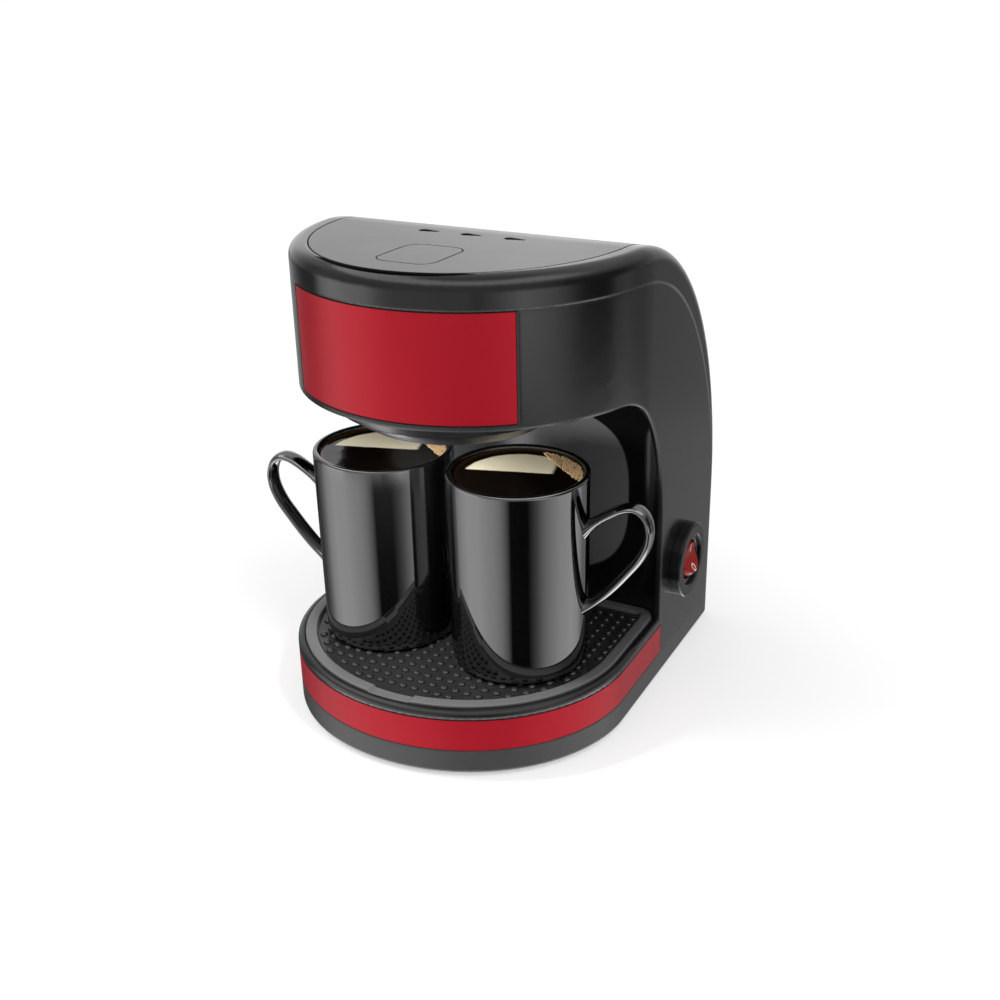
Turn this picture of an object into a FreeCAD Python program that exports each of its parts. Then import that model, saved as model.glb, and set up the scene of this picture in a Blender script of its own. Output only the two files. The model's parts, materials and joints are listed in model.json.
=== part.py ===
import FreeCAD, Part

import math
import os
import re

import Sketcher
from FreeCAD import Placement, Rotation, Vector

# Two-cup drip coffee maker: a D-shaped base with a drip tray, a column with a mug bay, and a head
# that overhangs the bay and carries the brew funnel, the filter, the water tank and a hinged lid.
# Frame: millimetres, +Z up, front towards -Y, origin on the floor under the middle of the body.

DOC = FreeCAD.newDocument("two_cup_coffee_maker")
SHEET = DOC.addObject("Spreadsheet::Sheet", "Dims")

# name, value in millimetres (angles in degrees), what it sizes
SIZES = (
    # overall body
    ("body_width", 178.0, "width across the side panels"),
    ("body_rear", 106.5, "back of the body; the base front lies as far the other way"),
    ("body_height", 237.0, "top of the rim and lid"),
    ("foot_height", 1.5, "gap under the bottom cover"),
    ("low_band_height", 13.0, "bottom cover band"),
    ("red_band_height", 17.0, "red band on the base"),
    ("deck_height", 4.5, "black rim above the red band"),
    ("wall", 2.5, "moulded wall"),
    ("skin", 2.0, "thickness of the red trims"),
    ("edge_round", 2.0, "small rounding of moulded outer edges"),
    # head and column
    ("base_arc_start", -26.0, "where the base's straight sides turn into its front curve"),
    ("head_height", 68.0, "head, from its underside to the top"),
    ("rim_height", 15.0, "outer shell above the seam at the front"),
    ("head_setback", 13.5, "head front behind the base front"),
    ("head_arc_start", 1.0, "where the straight sides turn into the front curve"),
    ("sweep_start", -5.0, "where the level top begins to fall to the rear"),
    ("sweep_drop", 153.0, "fall of the rear sweep, from the top to the upright back"),
    ("seam_start", -10.0, "where the seam begins to fall to the rear"),
    ("seam_drop", 162.0, "fall of the seam"),
    ("shell_reveal", 3.0, "edge of the outer shell seen beside the upright back"),
    ("shell_round", 7.0, "rounding of the outer shell's long edge"),
    # mug bay
    ("bay_back", 38.0, "middle of the bay's back wall"),
    ("bay_cheek", 22.5, "front edge of the side panels beside the bay"),
    ("bay_edge", 2.5, "thickness of the side panel's front edge"),
    ("bay_corner", 20.0, "upright corner rounding inside the bay"),
    ("bay_arch_start", 0.0, "where the bay roof begins to fall to the rear"),
    ("bay_arch_drop", 49.0, "fall of the roof to the upright back wall"),
    ("cheek_arch_start", -27.0, "where the side panels' lower edge begins to fall"),
    ("cheek_arch_drop", 79.0, "fall of that edge until it is upright"),
    ("ledge_depth", 8.0, "slope at the foot of the bay's back wall, front to back"),
    ("ledge_height", 9.0, "rise of that slope"),
    # red trims
    ("red_band_end", 25.8, "rear end of the red band on each side"),
    ("panel_half_width", 55.5, "half the width of the red head panel"),
    ("panel_reveal", 2.5, "body edge left showing under the head panel"),
    ("seam_gap", 0.3, "shadow gap around fitted trims"),
    # drip tray
    ("tray_rim", 3.5, "deck rim outside the tray"),
    ("tray_gap", 0.4, "clearance around the tray"),
    ("tray_well_depth", 6.0, "depth of the tray's seat below the deck"),
    ("tray_lip", 6.5, "width of the tray's raised lip"),
    ("tray_lip_rise", 1.0, "lip above the deck"),
    ("tray_plate", 2.5, "thickness of the dimpled plate"),
    ("tray_plate_drop", 1.3, "dimpled plate's surface below the deck"),
    ("tray_corner", 10.0, "rear corner rounding of the tray"),
    ("notch_half_width", 11.0, "half the width of the finger notch"),
    ("dimple_radius", 1.9, "radius of a dimple at its foot"),
    ("dimple_height", 1.5, "height of a dimple"),
    ("dimple_pitch", 8.0, "spacing of the dimples"),
    # lid
    ("rim_width", 12.5, "rim of the outer shell beside the lid"),
    ("rim_front", 5.0, "rim of the outer shell in front of the lid"),
    ("lid_gap", 0.7, "gap around the lid"),
    ("lid_plate", 2.5, "thickness of the lid"),
    ("lid_skirt_depth", 5.0, "depth of the lid's inner skirt"),
    ("lid_skirt", 1.6, "thickness of that skirt"),
    ("lid_edge_round", 0.8, "rounding of the lid's outer edge"),
    ("hinge_surface_y", 50.0, "where the lid's rolled rear edge meets the outer surface"),
    ("hinge_radius", 4.5, "radius of the lid's rolled rear edge"),
    ("hinge_pin_radius", 1.5, "lid hinge pin"),
    ("hinge_pin_length", 16.0, "lid hinge pin"),
    ("hinge_pin_clearance", 0.06, "running fit of the pin in the lid"),
    ("lid_open", 95.0, "how far the lid swings, in degrees"),
    ("lid_swing_reach", 12.0, "length of the bevel that lets the open lid lie past the rim"),
    ("ear_thickness", 4.0, "hinge ear under the shell"),
    ("pad_half_width", 15.0, "half the width of the finger pad"),
    ("pad_front", -73.5, "front of the finger pad"),
    ("pad_back", -37.0, "back of the finger pad"),
    ("pad_corner", 8.0, "corner rounding of the finger pad"),
    ("pad_gap", 0.6, "groove around the finger pad"),
    ("pad_flange", 1.5, "flange of the finger pad under the lid"),
    ("vent_pitch", 22.9, "spacing of the three lid vents"),
    ("vent_y", -10.0, "row of lid vents"),
    ("vent_radius", 2.5, "round end of a lid vent"),
    ("vent_length", 8.0, "tapered length of a lid vent"),
    # brewing parts
    ("brew_y", -27.0, "axis of the funnel and filter"),
    ("floor_hole", 44.0, "radius of the opening in the head floor"),
    ("collar_rise", 2.5, "funnel collar above the head floor"),
    ("funnel_depth", 17.0, "funnel below the head"),
    ("funnel_top_radius", 62.0, "funnel at the head"),
    ("funnel_bottom_radius", 36.0, "flat bottom of the funnel"),
    ("spout_offset", 16.0, "each spout beside the middle"),
    ("spout_radius", 4.5, "outside of a spout"),
    ("spout_bore", 2.5, "bore of a spout"),
    ("spout_drop", 3.0, "spout below the funnel"),
    ("basket_height", 33.0, "filter basket above the collar"),
    ("basket_radius", 46.0, "filter basket at its mouth"),
    ("basket_rim", 1.5, "rim around the basket's mouth"),
    ("basket_drain", 4.0, "drain hole in the basket"),
    ("basket_depth", 13.0, "basket below the collar"),
    ("basket_floor_radius", 28.0, "floor of the basket"),
    ("mesh_wall", 1.0, "wall of the permanent filter"),
    ("mesh_top", 24.0, "permanent filter's ring above the collar"),
    ("mesh_ring", 2.0, "height of that ring"),
    ("mesh_gap", 0.6, "clearance between the filter and the basket"),
    ("grip_width", 8.0, "width of the filter's handle"),
    ("grip_rise", 16.0, "rise of the filter's handle"),
    ("grip_thickness", 2.5, "thickness of the filter's handle"),
    ("grip_half_span", 36.0, "half the span of the handle at the ring"),
    # water system
    ("tank_inset", 23.0, "water tank inside the side panels"),
    ("tank_front", 22.5, "front of the water tank"),
    ("tank_floor_drop", 5.0, "water tank's front part below the bay's top"),
    ("tank_sump_front", 44.0, "front of the tank's deeper rear part"),
    ("tank_sump_drop", 33.0, "that part below the bay's top"),
    ("tank_top_drop", 38.0, "mouth of the water tank below the lid"),
    ("tank_wall", 2.0, "wall of the water tank"),
    ("tank_gap", 1.0, "gap between the tank and the outer shell"),
    ("rib_offset", 50.0, "each rib under the tank beside the middle"),
    ("hose_radius", 5.0, "outside of a hose"),
    ("hose_bore", 3.0, "bore of a hose"),
    ("riser_radius", 3.5, "outside of the riser tube"),
    ("riser_bore", 2.5, "bore of the riser tube"),
    ("riser_inset", 13.0, "riser inside the side panel"),
    ("riser_y", 62.0, "riser in front of the back"),
    ("riser_low", 60.0, "lower end of the riser"),
    ("riser_turn_drop", 45.0, "riser's level run below the lid"),
    ("shower_drop", 13.0, "shower arm below the lid"),
    ("outlet_x", 48.0, "tank outlet beside the middle"),
    ("outlet_y", 62.0, "tank outlet"),
    ("outlet_length", 12.0, "length of the tank's outlet"),
    ("clamp_width", 5.0, "width of a hose clamp"),
    ("clamp_thickness", 0.8, "band of a hose clamp"),
    # heater
    ("heater_radius", 5.5, "outside of the heater tube"),
    ("heater_bore", 3.0, "water bore of the heater tube"),
    ("heater_span", 35.0, "half the distance between the heater's legs"),
    ("heater_y", -20.0, "centre of the heater's bend"),
    ("heater_z", 16.5, "height of the heater tube"),
    ("heater_leg", 42.0, "straight leg of the heater"),
    ("stub", 8.0, "bare tube end inside a hose"),
    ("saddle_width", 12.0, "width of a heater saddle"),
    ("thermostat_radius", 7.5, "thermostat disc"),
    ("thermostat_height", 4.5, "thermostat disc"),
    ("fuse_radius", 2.5, "thermal fuse in its sleeve"),
    ("fuse_length", 18.0, "thermal fuse in its sleeve"),
    # switch
    ("switch_y", 56.2, "centre of the switch"),
    ("switch_z", 57.2, "centre of the switch"),
    ("surround_radius", 20.5, "outside of the switch surround"),
    ("surround_bore", 14.0, "inside of the switch surround"),
    ("surround_proud", 5.8, "surround beyond the side panel"),
    ("switch_flange", 4.0, "face of the switch module beyond the side panel"),
    ("switch_bore", 11.0, "round window of the switch module"),
    ("module_depth", 17.0, "depth of the switch module"),
    ("rocker_radius", 10.6, "outline of the rocker"),
    ("rocker_proud", 3.4, "rocker's high end beyond the flange"),
    ("rocker_depth", 9.0, "depth of the rocker's window behind the panel"),
    ("rocker_pivot_radius", 1.6, "rocker's pivot pin"),
    ("rocker_pivot_depth", 4.5, "pivot below the flange"),
    ("rocker_tilt", 12.0, "tilt of the rocker each way"),
    # small parts
    ("foot_radius", 6.5, "rubber foot"),
    ("foot_inset", 12.0, "feet inside the base outline"),
    ("foot_recess", 0.8, "feet let into the bottom cover"),
    ("front_foot_angle", 57.0, "each side foot from the front one"),
    ("rear_foot_x", 66.0, "rear feet beside the middle"),
    ("screw_head_radius", 3.2, "bottom screw head"),
    ("screw_head_height", 1.6, "bottom screw head"),
    ("screw_radius", 1.5, "bottom screw shank"),
    ("screw_length", 14.0, "bottom screw shank"),
    ("boss_radius", 4.0, "screw boss"),
    ("screw_front_x", 46.0, "front screws beside the middle"),
    ("screw_front_y", -70.0, "front screws"),
    ("screw_rear_x", 50.0, "rear screws beside the middle"),
    ("screw_rear_y", 98.0, "rear screws"),
    ("gland_x", -55.0, "cord gland on the back"),
    ("gland_z", 42.0, "cord gland on the back"),
    ("gland_radius", 6.0, "neck of the cord gland"),
    ("gland_flange", 8.5, "flange of the cord gland"),
    ("gland_bore", 3.4, "cord hole"),
    # mugs
    ("mug_x", 37.3, "each mug beside the middle"),
    ("mug_y", -37.0, "both mugs"),
    ("mug_headroom", 14.5, "gap between a mug and the spouts"),
    ("mug_foot_radius", 34.0, "mug at its foot"),
    ("mug_rim_radius", 34.7, "mug at its rim"),
    ("mug_wall", 3.0, "wall of a mug"),
    ("mug_floor", 5.0, "floor of a mug"),
    ("mug_foot_round", 3.0, "rounding at the foot of a mug"),
    ("mug_rest_gap", 0.3, "mug above the dimples"),
    ("handle_turn_right", 8.0, "right mug's handle turned to the rear"),
    ("handle_turn_left", -6.0, "left mug's handle turned to the rear"),
    ("handle_root_drop", 27.0, "handle's upper root below the rim"),
    ("handle_crest_reach", 21.3, "handle's upper corner beyond the mug's wall"),
    ("handle_crest_drop", 10.0, "handle's upper corner below the rim"),
    ("handle_crest_bend", 9.0, "bend of that corner"),
    ("handle_elbow_reach", 33.8, "handle's outer corner beyond the mug's wall"),
    ("handle_elbow_drop", 26.0, "handle's outer corner below the rim"),
    ("handle_elbow_bend", 12.0, "bend of that corner"),
    ("handle_tail_reach", 6.3, "handle's lower corner beyond the mug's wall"),
    ("handle_tail_drop", 62.5, "handle's lower corner below the rim"),
    ("handle_tail_bend", 30.0, "bend of that corner"),
    ("handle_foot_drop", 68.0, "handle's lower root below the rim"),
    ("handle_width", 10.5, "width of the handle's strap"),
    ("handle_thickness", 4.6, "thickness of the handle's strap"),
)

for row, (alias, value, note) in enumerate(SIZES, start=1):
    SHEET.set(f"A{row}", note)
    SHEET.set(f"B{row}", str(value))
    SHEET.setAlias(f"B{row}", alias)
DOC.recompute()

ALIASES = {alias for alias, value, note in SIZES}

# Heights and widths that several pieces share, written once as expressions.
SHARED = {
    "half_width": "(body_width / 2)",
    "base_front": "(0 - body_rear)",
    "seam_top": "(body_height - rim_height)",
    "sweep_end": "(body_height - sweep_drop)",
    "seam_end": "(seam_top - seam_drop)",
    "bay_top": "(body_height - head_height)",
    "bay_arch_end": "(bay_top - bay_arch_drop)",
    "cheek_arch_end": "(bay_top - cheek_arch_drop)",
    "tank_half_width": "(half_width - tank_inset)",
    "tank_floor": "(bay_top - tank_floor_drop)",
    "tank_sump_floor": "(bay_top - tank_sump_drop)",
    "tank_top": "(body_height - tank_top_drop)",
    "riser_x": "(riser_inset - half_width)",
    "riser_turn": "(body_height - riser_turn_drop)",
    "shower_z": "(body_height - shower_drop)",
    "low_top": "(foot_height + low_band_height)",
    "red_top": "(foot_height + low_band_height + red_band_height)",
    "deck_top": "(foot_height + low_band_height + red_band_height + deck_height)",
    "well_floor": "(foot_height + low_band_height + red_band_height + deck_height - tray_well_depth)",
    "head_front": "(head_setback - body_rear)",
    "collar_top": "(bay_top + wall + collar_rise)",
    "screw_seat": "(foot_height + screw_head_height)",
    "rocker_x": "(half_width + switch_flange - rocker_pivot_depth)",
    "tray_rear": "(bay_back - ledge_depth)",
    "dimple_top": "(deck_top - tray_plate_drop + dimple_height)",
    "mug_base": "(dimple_top + mug_rest_gap)",
    "mug_height": "(bay_top - funnel_depth - spout_drop - mug_headroom - mug_base)",
    # The hinge axis lies one roll radius under the outer surface, along the surface's normal.
    "sweep_depth": "(body_rear - sweep_start)",
    "sweep_rise": "sweep_drop",
    "hinge_height": "(sweep_end + sweep_rise * sqrt(1 - ((hinge_surface_y - sweep_start) / sweep_depth)^2))",
    "normal_across": "((hinge_surface_y - sweep_start) / sweep_depth^2)",
    "normal_up": "((hinge_height - sweep_end) / sweep_rise^2)",
    "normal_size": "sqrt(normal_across^2 + normal_up^2)",
    "hinge_y": "(hinge_surface_y - hinge_radius * normal_across / normal_size)",
    "hinge_z": "(hinge_height - hinge_radius * normal_up / normal_size)",
    # Directions of the open lid, seen from its axis: along the plate, and square to its outer face.
    "along_y": "((sin(lid_open) * normal_across - cos(lid_open) * normal_up) / normal_size)",
    "along_z": "((cos(lid_open) * normal_across + sin(lid_open) * normal_up) / normal_size)",
    "swing_clear": "(hinge_radius + lid_gap)",
}

# Each bottom screw: its name and its place.
SCREWS = (("front_left", "(0 - screw_front_x)", "screw_front_y"),
          ("front_right", "screw_front_x", "screw_front_y"),
          ("rear_left", "(0 - screw_rear_x)", "screw_rear_y"),
          ("rear_right", "screw_rear_x", "screw_rear_y"))

SHARED_NAMES = r"\b(" + "|".join(SHARED) + r")\b"


def full(expression):
    """An expression with the shared names opened and every size pointing at the sheet."""
    text = str(expression)
    while re.search(SHARED_NAMES, text):
        text = re.sub(SHARED_NAMES, lambda match: SHARED[match.group(0)], text)
    return re.sub(r"\b[a-z][a-z_]*\b", lambda m: "Dims." + m.group(0) if m.group(0) in ALIASES else m.group(0), text)


def number(expression):
    """The value an expression has now, as a plain number."""
    value = DOC.Dims.evalExpression(full(expression).replace("Dims.", ""))
    return float(getattr(value, "Value", value))


def bind(item, **sizes):
    """Tie properties of an object to expressions over the sheet."""
    for name, expression in sizes.items():
        setattr(item, name, number(expression))
        item.setExpression(name, full(expression))
    return item


def put(item, x="0", y="0", z="0", turn=None):
    """Place an object at expressions over the sheet, after an optional turn."""
    if turn is not None:
        item.Placement = Placement(Vector(0, 0, 0), turn)
    for axis, expression in (("x", x), ("y", y), ("z", z)):
        item.setExpression(f".Placement.Base.{axis}", full(expression))
    return item


TO_X = Rotation(Vector(0, 1, 0), 90)
TO_Y = Rotation(Vector(1, 0, 0), -90)
FAR = "500"


def make(kind, name, **sizes):
    return bind(DOC.addObject(kind, name), **sizes)


def block(name, low, high):
    """A box between two corners given as expressions."""
    box = make("Part::Box", name,
               Length=f"{high[0]} - ({low[0]})",
               Width=f"{high[1]} - ({low[1]})",
               Height=f"{high[2]} - ({low[2]})")
    return put(box, *low)


def rod(name, radius, length, x="0", y="0", z="0", turn=None):
    """A cylinder that starts at a point and runs along +Z, or along its turned axis."""
    return put(make("Part::Cylinder", name, Radius=radius, Height=length), x, y, z, turn)


def join(name, *parts, refine=True):
    item = DOC.addObject("Part::MultiFuse", name)
    item.Shapes = list(parts)
    item.Refine = refine
    return item


def overlap(name, *parts):
    item = DOC.addObject("Part::MultiCommon", name)
    item.Shapes = list(parts)
    item.Refine = True
    return item


def cut(name, base, *tools):
    tool = tools[0] if len(tools) == 1 else join(f"{name}_tools", *tools, refine=False)
    item = DOC.addObject("Part::Cut", name)
    item.Base = base
    item.Tool = tool
    item.Refine = True
    return item


def ellipse_bar(name, across, up, length, centre, turn):
    """An elliptic bar: its section has one half axis across and one up, then it is turned and placed."""
    tall = number(up) > number(across)
    outline = make("Part::Ellipse", f"{name}_outline",
                   MajorRadius=up if tall else across,
                   MinorRadius=across if tall else up)
    outline.Placement = Placement(Vector(0, 0, 0), Rotation(Vector(0, 0, 1), 90 if tall else 0))
    bar = DOC.addObject("Part::Extrusion", name)
    bar.Base = outline
    bar.DirMode = "Custom"
    bar.Dir = Vector(0, 0, 1)
    bar.Solid = True
    bind(bar, LengthFwd=length)
    return put(bar, *centre, turn=turn)


def face_normal(face, point):
    u, v = face.Surface.parameter(point)
    return face.normalAt(u, v)


def corner_edges(shape, accept):
    """Indices of the edges where two faces meet at a real corner and that a test accepts."""
    found = []
    for index, edge in enumerate(shape.Edges, start=1):
        faces = shape.ancestorsOfType(edge, Part.Face)
        if len(faces) != 2:
            continue
        middle = edge.valueAt((edge.FirstParameter + edge.LastParameter) / 2)
        turn = face_normal(faces[0], middle).getAngle(face_normal(faces[1], middle))
        if math.degrees(turn) > 25 and accept(middle, edge):
            found.append(index)
    return found


def rounded(name, base, radius, accept):
    """A fillet on the accepted corner edges of a piece."""
    DOC.recompute()
    item = DOC.addObject("Part::Fillet", name)
    item.Base = base
    size = number(radius)
    item.Edges = [(index, size, size) for index in corner_edges(base.Shape, accept)]
    DOC.recompute()
    return item


def origin_plane(body, role):
    return next(plane for plane in body.Origin.OriginFeatures if plane.Role == role)


def outline_sketch(body, name, role, points):
    """A closed outline on an origin plane of a body; each corner is tied to the sheet."""
    sketch = body.newObject("Sketcher::SketchObject", name)
    sketch.AttachmentSupport = [(origin_plane(body, role), "")]
    sketch.MapMode = "FlatFace"
    places = [Vector(number(across), number(up), 0) for across, up in points]
    count = len(places)
    for index, place in enumerate(places):
        sketch.addGeometry(Part.LineSegment(place, places[(index + 1) % count]))
    for index in range(count):
        sketch.addConstraint(Sketcher.Constraint("Coincident", index, 2, (index + 1) % count, 1))
    for index, (across, up) in enumerate(points):
        for kind, label, expression in (("DistanceX", "across", across), ("DistanceY", "up", up)):
            place = sketch.addConstraint(Sketcher.Constraint(kind, -1, 1, index, 1, number(expression)))
            sketch.renameConstraint(place, f"{label}_{index}")
            sketch.setExpression(f"Constraints.{label}_{index}", full(expression))
    return sketch


def turned(name, points, x="0", y="0", z="0", turn=None):
    """A PartDesign body turned about its upright axis from an outline of radius and height."""
    body = DOC.addObject("PartDesign::Body", name)
    sketch = outline_sketch(body, f"{name}_outline", "XZ_Plane", points)
    turning = body.newObject("PartDesign::Revolution", f"{name}_turning")
    turning.Profile = sketch
    turning.ReferenceAxis = (sketch, ["V_Axis"])
    turning.Angle = 360
    sketch.Visibility = False
    return put(body, x, y, z, turn)


def padded(name, role, points, length, x="0", y="0", z="0"):
    """A PartDesign body padded both ways from an outline on an origin plane."""
    body = DOC.addObject("PartDesign::Body", name)
    sketch = outline_sketch(body, f"{name}_outline", role, points)
    pad = body.newObject("PartDesign::Pad", f"{name}_pad")
    pad.Profile = sketch
    pad.SideType = "Symmetric"
    bind(pad, Length=length)
    return put(body, x, y, z)


def curved_front(name, half, depth, arc_y, low, high):
    """The front half of an upright elliptic bar."""
    bar = ellipse_bar(f"{name}_bar", half, depth, f"{high} - ({low})", ("0", arc_y, low), Rotation())
    front = block(f"{name}_half", (f"0 - {FAR}", f"0 - {FAR}", low), (FAR, arc_y, high))
    return overlap(name, bar, front)


def d_plan(name, half, depth, arc_y, low, high, rear):
    """A D outline between two heights: an elliptic front and straight sides."""
    nose = curved_front(f"{name}_nose", half, depth, arc_y, low, high)
    sides = block(f"{name}_sides", (f"0 - ({half})", arc_y, low), (half, rear, high))
    return join(name, nose, sides)


def base_plan(name, inset, low, high, rear="body_rear"):
    """The base's outline, drawn in by an inset."""
    return d_plan(name, f"half_width - ({inset})", f"base_arc_start - base_front - ({inset})",
                  "base_arc_start", low, high, rear)


def head_plan(name, inset, low, high, rear="body_rear"):
    """The head's outline, drawn in by an inset."""
    return d_plan(name, f"half_width - ({inset})", f"head_arc_start - head_front - ({inset})",
                  "head_arc_start", low, high, rear)


def lid_plan(name, inset, low, high, rear):
    """The lid's outline, drawn in by an inset: nearer the head's front than its sides."""
    return d_plan(name, f"half_width - rim_width - ({inset})",
                  f"head_arc_start - head_front - rim_front - ({inset})", "head_arc_start", low, high, rear)


def side_profile(name, inset, top, rear, arc_y, arc_z):
    """Everything under a level top that falls to the rear in an ellipse and ends in an upright back."""
    bar = ellipse_bar(f"{name}_bar", f"{rear} - ({arc_y}) - ({inset})", f"{top} - ({arc_z}) - ({inset})",
                      f"2 * {FAR}", (f"0 - {FAR}", arc_y, arc_z),
                      Rotation(Vector(0, 1, 0), Vector(0, 0, 1), Vector(1, 0, 0), "XYZ"))
    front = block(f"{name}_front", (f"0 - {FAR}", f"0 - {FAR}", f"0 - {FAR}"), (FAR, arc_y, f"{top} - ({inset})"))
    back = block(f"{name}_back", (f"0 - {FAR}", f"{arc_y} - 1", f"0 - {FAR}"), (FAR, f"{rear} - ({inset})", arc_z))
    return join(name, bar, front, back)


def outer_side(name, inset):
    return side_profile(name, inset, "body_height", "body_rear", "sweep_start", "sweep_end")


def seam_side(name):
    return side_profile(name, "0", "seam_top", "(body_rear - shell_reveal)", "seam_start", "seam_end")


def bay(name, grow, low):
    """The mug bay inside the side panels: rounded upright corners and an arched roof."""
    back = f"(bay_back + {grow})"
    corner = f"(bay_corner + {grow})"
    side = f"(half_width - bay_edge + {grow})"
    plan = join(f"{name}_plan",
                block(f"{name}_wide", (f"0 - {side}", f"0 - {FAR}", low), (side, f"{back} - {corner}", FAR)),
                block(f"{name}_deep", (f"{corner} - {side}", f"0 - {FAR}", low), (f"{side} - {corner}", back, FAR)),
                rod(f"{name}_left", corner, f"{FAR} - ({low})", f"{corner} - {side}", f"{back} - {corner}", low),
                rod(f"{name}_right", corner, f"{FAR} - ({low})", f"{side} - {corner}", f"{back} - {corner}", low))
    roof = side_profile(f"{name}_roof", "0", f"(bay_top + {grow})", back, "bay_arch_start", "bay_arch_end")
    between = head_plan(f"{name}_between", f"(bay_edge - {grow})", low, FAR, FAR)
    return overlap(name, plan, roof, between)


PARTS = {}


def finish(node, item):
    """Name a finished piece; its label names its file."""
    item.Label = node
    PARTS[node] = item
    return item


def outer_shell():
    """Glossy wrap: the rim around the lid, the falling top and the upright back, in one thin moulding."""
    plan = head_plan("shell_plan", "0", "low_top", "body_height + 1")
    whole = overlap("shell_form", plan, outer_side("shell_side", "0"))
    above_base = number("low_top") + 0.1
    whole = rounded("shell_rounded", whole, "shell_round",
                    lambda point, edge: edge.BoundBox.ZMax > above_base and edge.BoundBox.XLength < number("body_width") - 1)
    hollow = overlap("shell_hollow", head_plan("shell_hollow_plan", "wall", "low_top - 1", "body_height", "(body_rear - wall)"),
                     outer_side("shell_hollow_side", "wall"))
    low_edge = number("low_top") - 0.9
    hollow = rounded("shell_hollow_rounded", hollow, "shell_round - wall",
                     lambda point, edge: edge.BoundBox.ZMax > low_edge and edge.BoundBox.XLength < number("body_width") - 8)
    thin = cut("shell_thin", whole, hollow, seam_side("shell_seam"))
    mouth = join("shell_mouth",
                 lid_plan("mouth_plan", "(0 - lid_gap)", "seam_top - 60", "body_height + 5", "(hinge_surface_y + lid_gap / 2)"),
                 rod("mouth_roll", "swing_clear", "2 * (half_width - rim_width + lid_gap)",
                     "rim_width - lid_gap - half_width", "hinge_y", "hinge_z", TO_X),
                 padded("mouth_bevel", "YZ_Plane", (
                     ("0", "0"), ("swing_clear * along_z", "0 - swing_clear * along_y"),
                     ("swing_clear * along_z + lid_swing_reach * along_y",
                      "lid_swing_reach * along_z - swing_clear * along_y"),
                     ("lid_swing_reach * along_y", "lid_swing_reach * along_z")),
                     "2 * (half_width - rim_width + lid_gap)", "0", "hinge_y", "hinge_z"))
    opened = cut("shell_opened", thin, mouth)
    ears, bores = [], []
    for side, start in (("left", "rim_width - lid_gap - half_width - ear_thickness"),
                        ("right", "half_width - rim_width + lid_gap")):
        ear = block(f"ear_{side}", (start, "hinge_y - 6", "hinge_z - 6"),
                    (f"{start} + ear_thickness", "hinge_y + 6", "hinge_z + 30"))
        ears.append(overlap(f"ear_{side}_trimmed", ear, hollow))
        bores.append(rod(f"ear_bore_{side}", "hinge_pin_radius", "ear_thickness", start, "hinge_y", "hinge_z", TO_X))
    shell = cut("shell_with_ears", join("shell_eared", opened, *ears), *bores)
    gland = rod("gland_hole", "gland_radius", "40", "gland_x", "body_rear - 20", "gland_z", TO_Y)
    finish("outer_shell", cut("shell_final", shell, gland))
    return whole


def lid():
    """Lid flush with the rim; its rear edge is rolled around the hinge axis."""
    plan = lid_plan("lid_outline", "0", "seam_top - 60", "body_height + 5", "hinge_surface_y")
    plate = cut("lid_sheet", overlap("lid_form", plan, outer_side("lid_top", "0")), outer_side("lid_under", "lid_plate"))
    ring = cut("skirt_ring",
               lid_plan("skirt_plan", "1", "seam_top - 60", "body_height + 5", "(hinge_y - 14)"),
               lid_plan("skirt_inner", "(1 + lid_skirt)", "seam_top - 61", "body_height + 6", "(hinge_y - 13)"))
    band = cut("skirt_band", outer_side("skirt_high", "lid_plate"), outer_side("skirt_low", "(lid_plate + lid_skirt_depth)"))
    skirt = overlap("lid_skirt_form", ring, band)
    roll = rod("lid_roll", "hinge_radius", "2 * (half_width - rim_width)", "rim_width - half_width", "hinge_y", "hinge_z", TO_X)
    pad_hole = pad_block("pad_hole", "0", "body_height - 10", "body_height + 5")
    vents = [vent(f"vent_{index}", f"{index - 1} * vent_pitch") for index in range(3)]
    bore = rod("lid_bore", "hinge_pin_radius + hinge_pin_clearance", f"2 * {FAR}", f"0 - {FAR}", "hinge_y", "hinge_z", TO_X)
    core = rod("lid_core", "hinge_pin_radius + hinge_pin_clearance + 1",
               "2 * (half_width - rim_width - hinge_pin_length + ear_thickness + lid_gap) - 2",
               "rim_width + hinge_pin_length - ear_thickness - lid_gap - half_width + 1", "hinge_y", "hinge_z", TO_X)
    drilled = cut("lid_drilled", join("lid_joined", plate, skirt, roll), pad_hole, *vents, bore)
    return finish("lid", join("lid_final", drilled, core))


def pad_block(name, inset, low, high):
    """A block with rounded corners at the lid's finger pad."""
    half = f"(pad_half_width - ({inset}))"
    front = f"(pad_front + ({inset}))"
    back = f"(pad_back - ({inset}))"
    corner = f"(pad_corner - ({inset}))"
    parts = [block(f"{name}_long", (f"{corner} - {half}", front, low), (f"{half} - {corner}", back, high)),
             block(f"{name}_wide", (f"0 - {half}", f"{front} + {corner}", low), (half, f"{back} - {corner}", high))]
    for side, x in (("left", f"{corner} - {half}"), ("right", f"{half} - {corner}")):
        for end, y in (("front", f"{front} + {corner}"), ("back", f"{back} - {corner}")):
            parts.append(rod(f"{name}_{side}_{end}", corner, f"{high} - ({low})", x, y, low))
    return join(name, *parts)


def vent(name, x):
    """A drop-shaped vent slot: a round end that tapers along X."""
    head = rod(f"{name}_round", "vent_radius", "20", f"{x} - vent_length / 4", "vent_y", "body_height - 15")
    taper = padded(f"{name}_taper", "XY_Plane", (
        ("0", "0 - vent_radius * 0.95"), ("vent_length", "0 - vent_radius * 0.3"),
        ("vent_length", "vent_radius * 0.3"), ("0", "vent_radius * 0.95")), "20",
        f"{x} - vent_length / 4", "vent_y", "body_height - 5")
    return join(name, head, taper)


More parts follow.
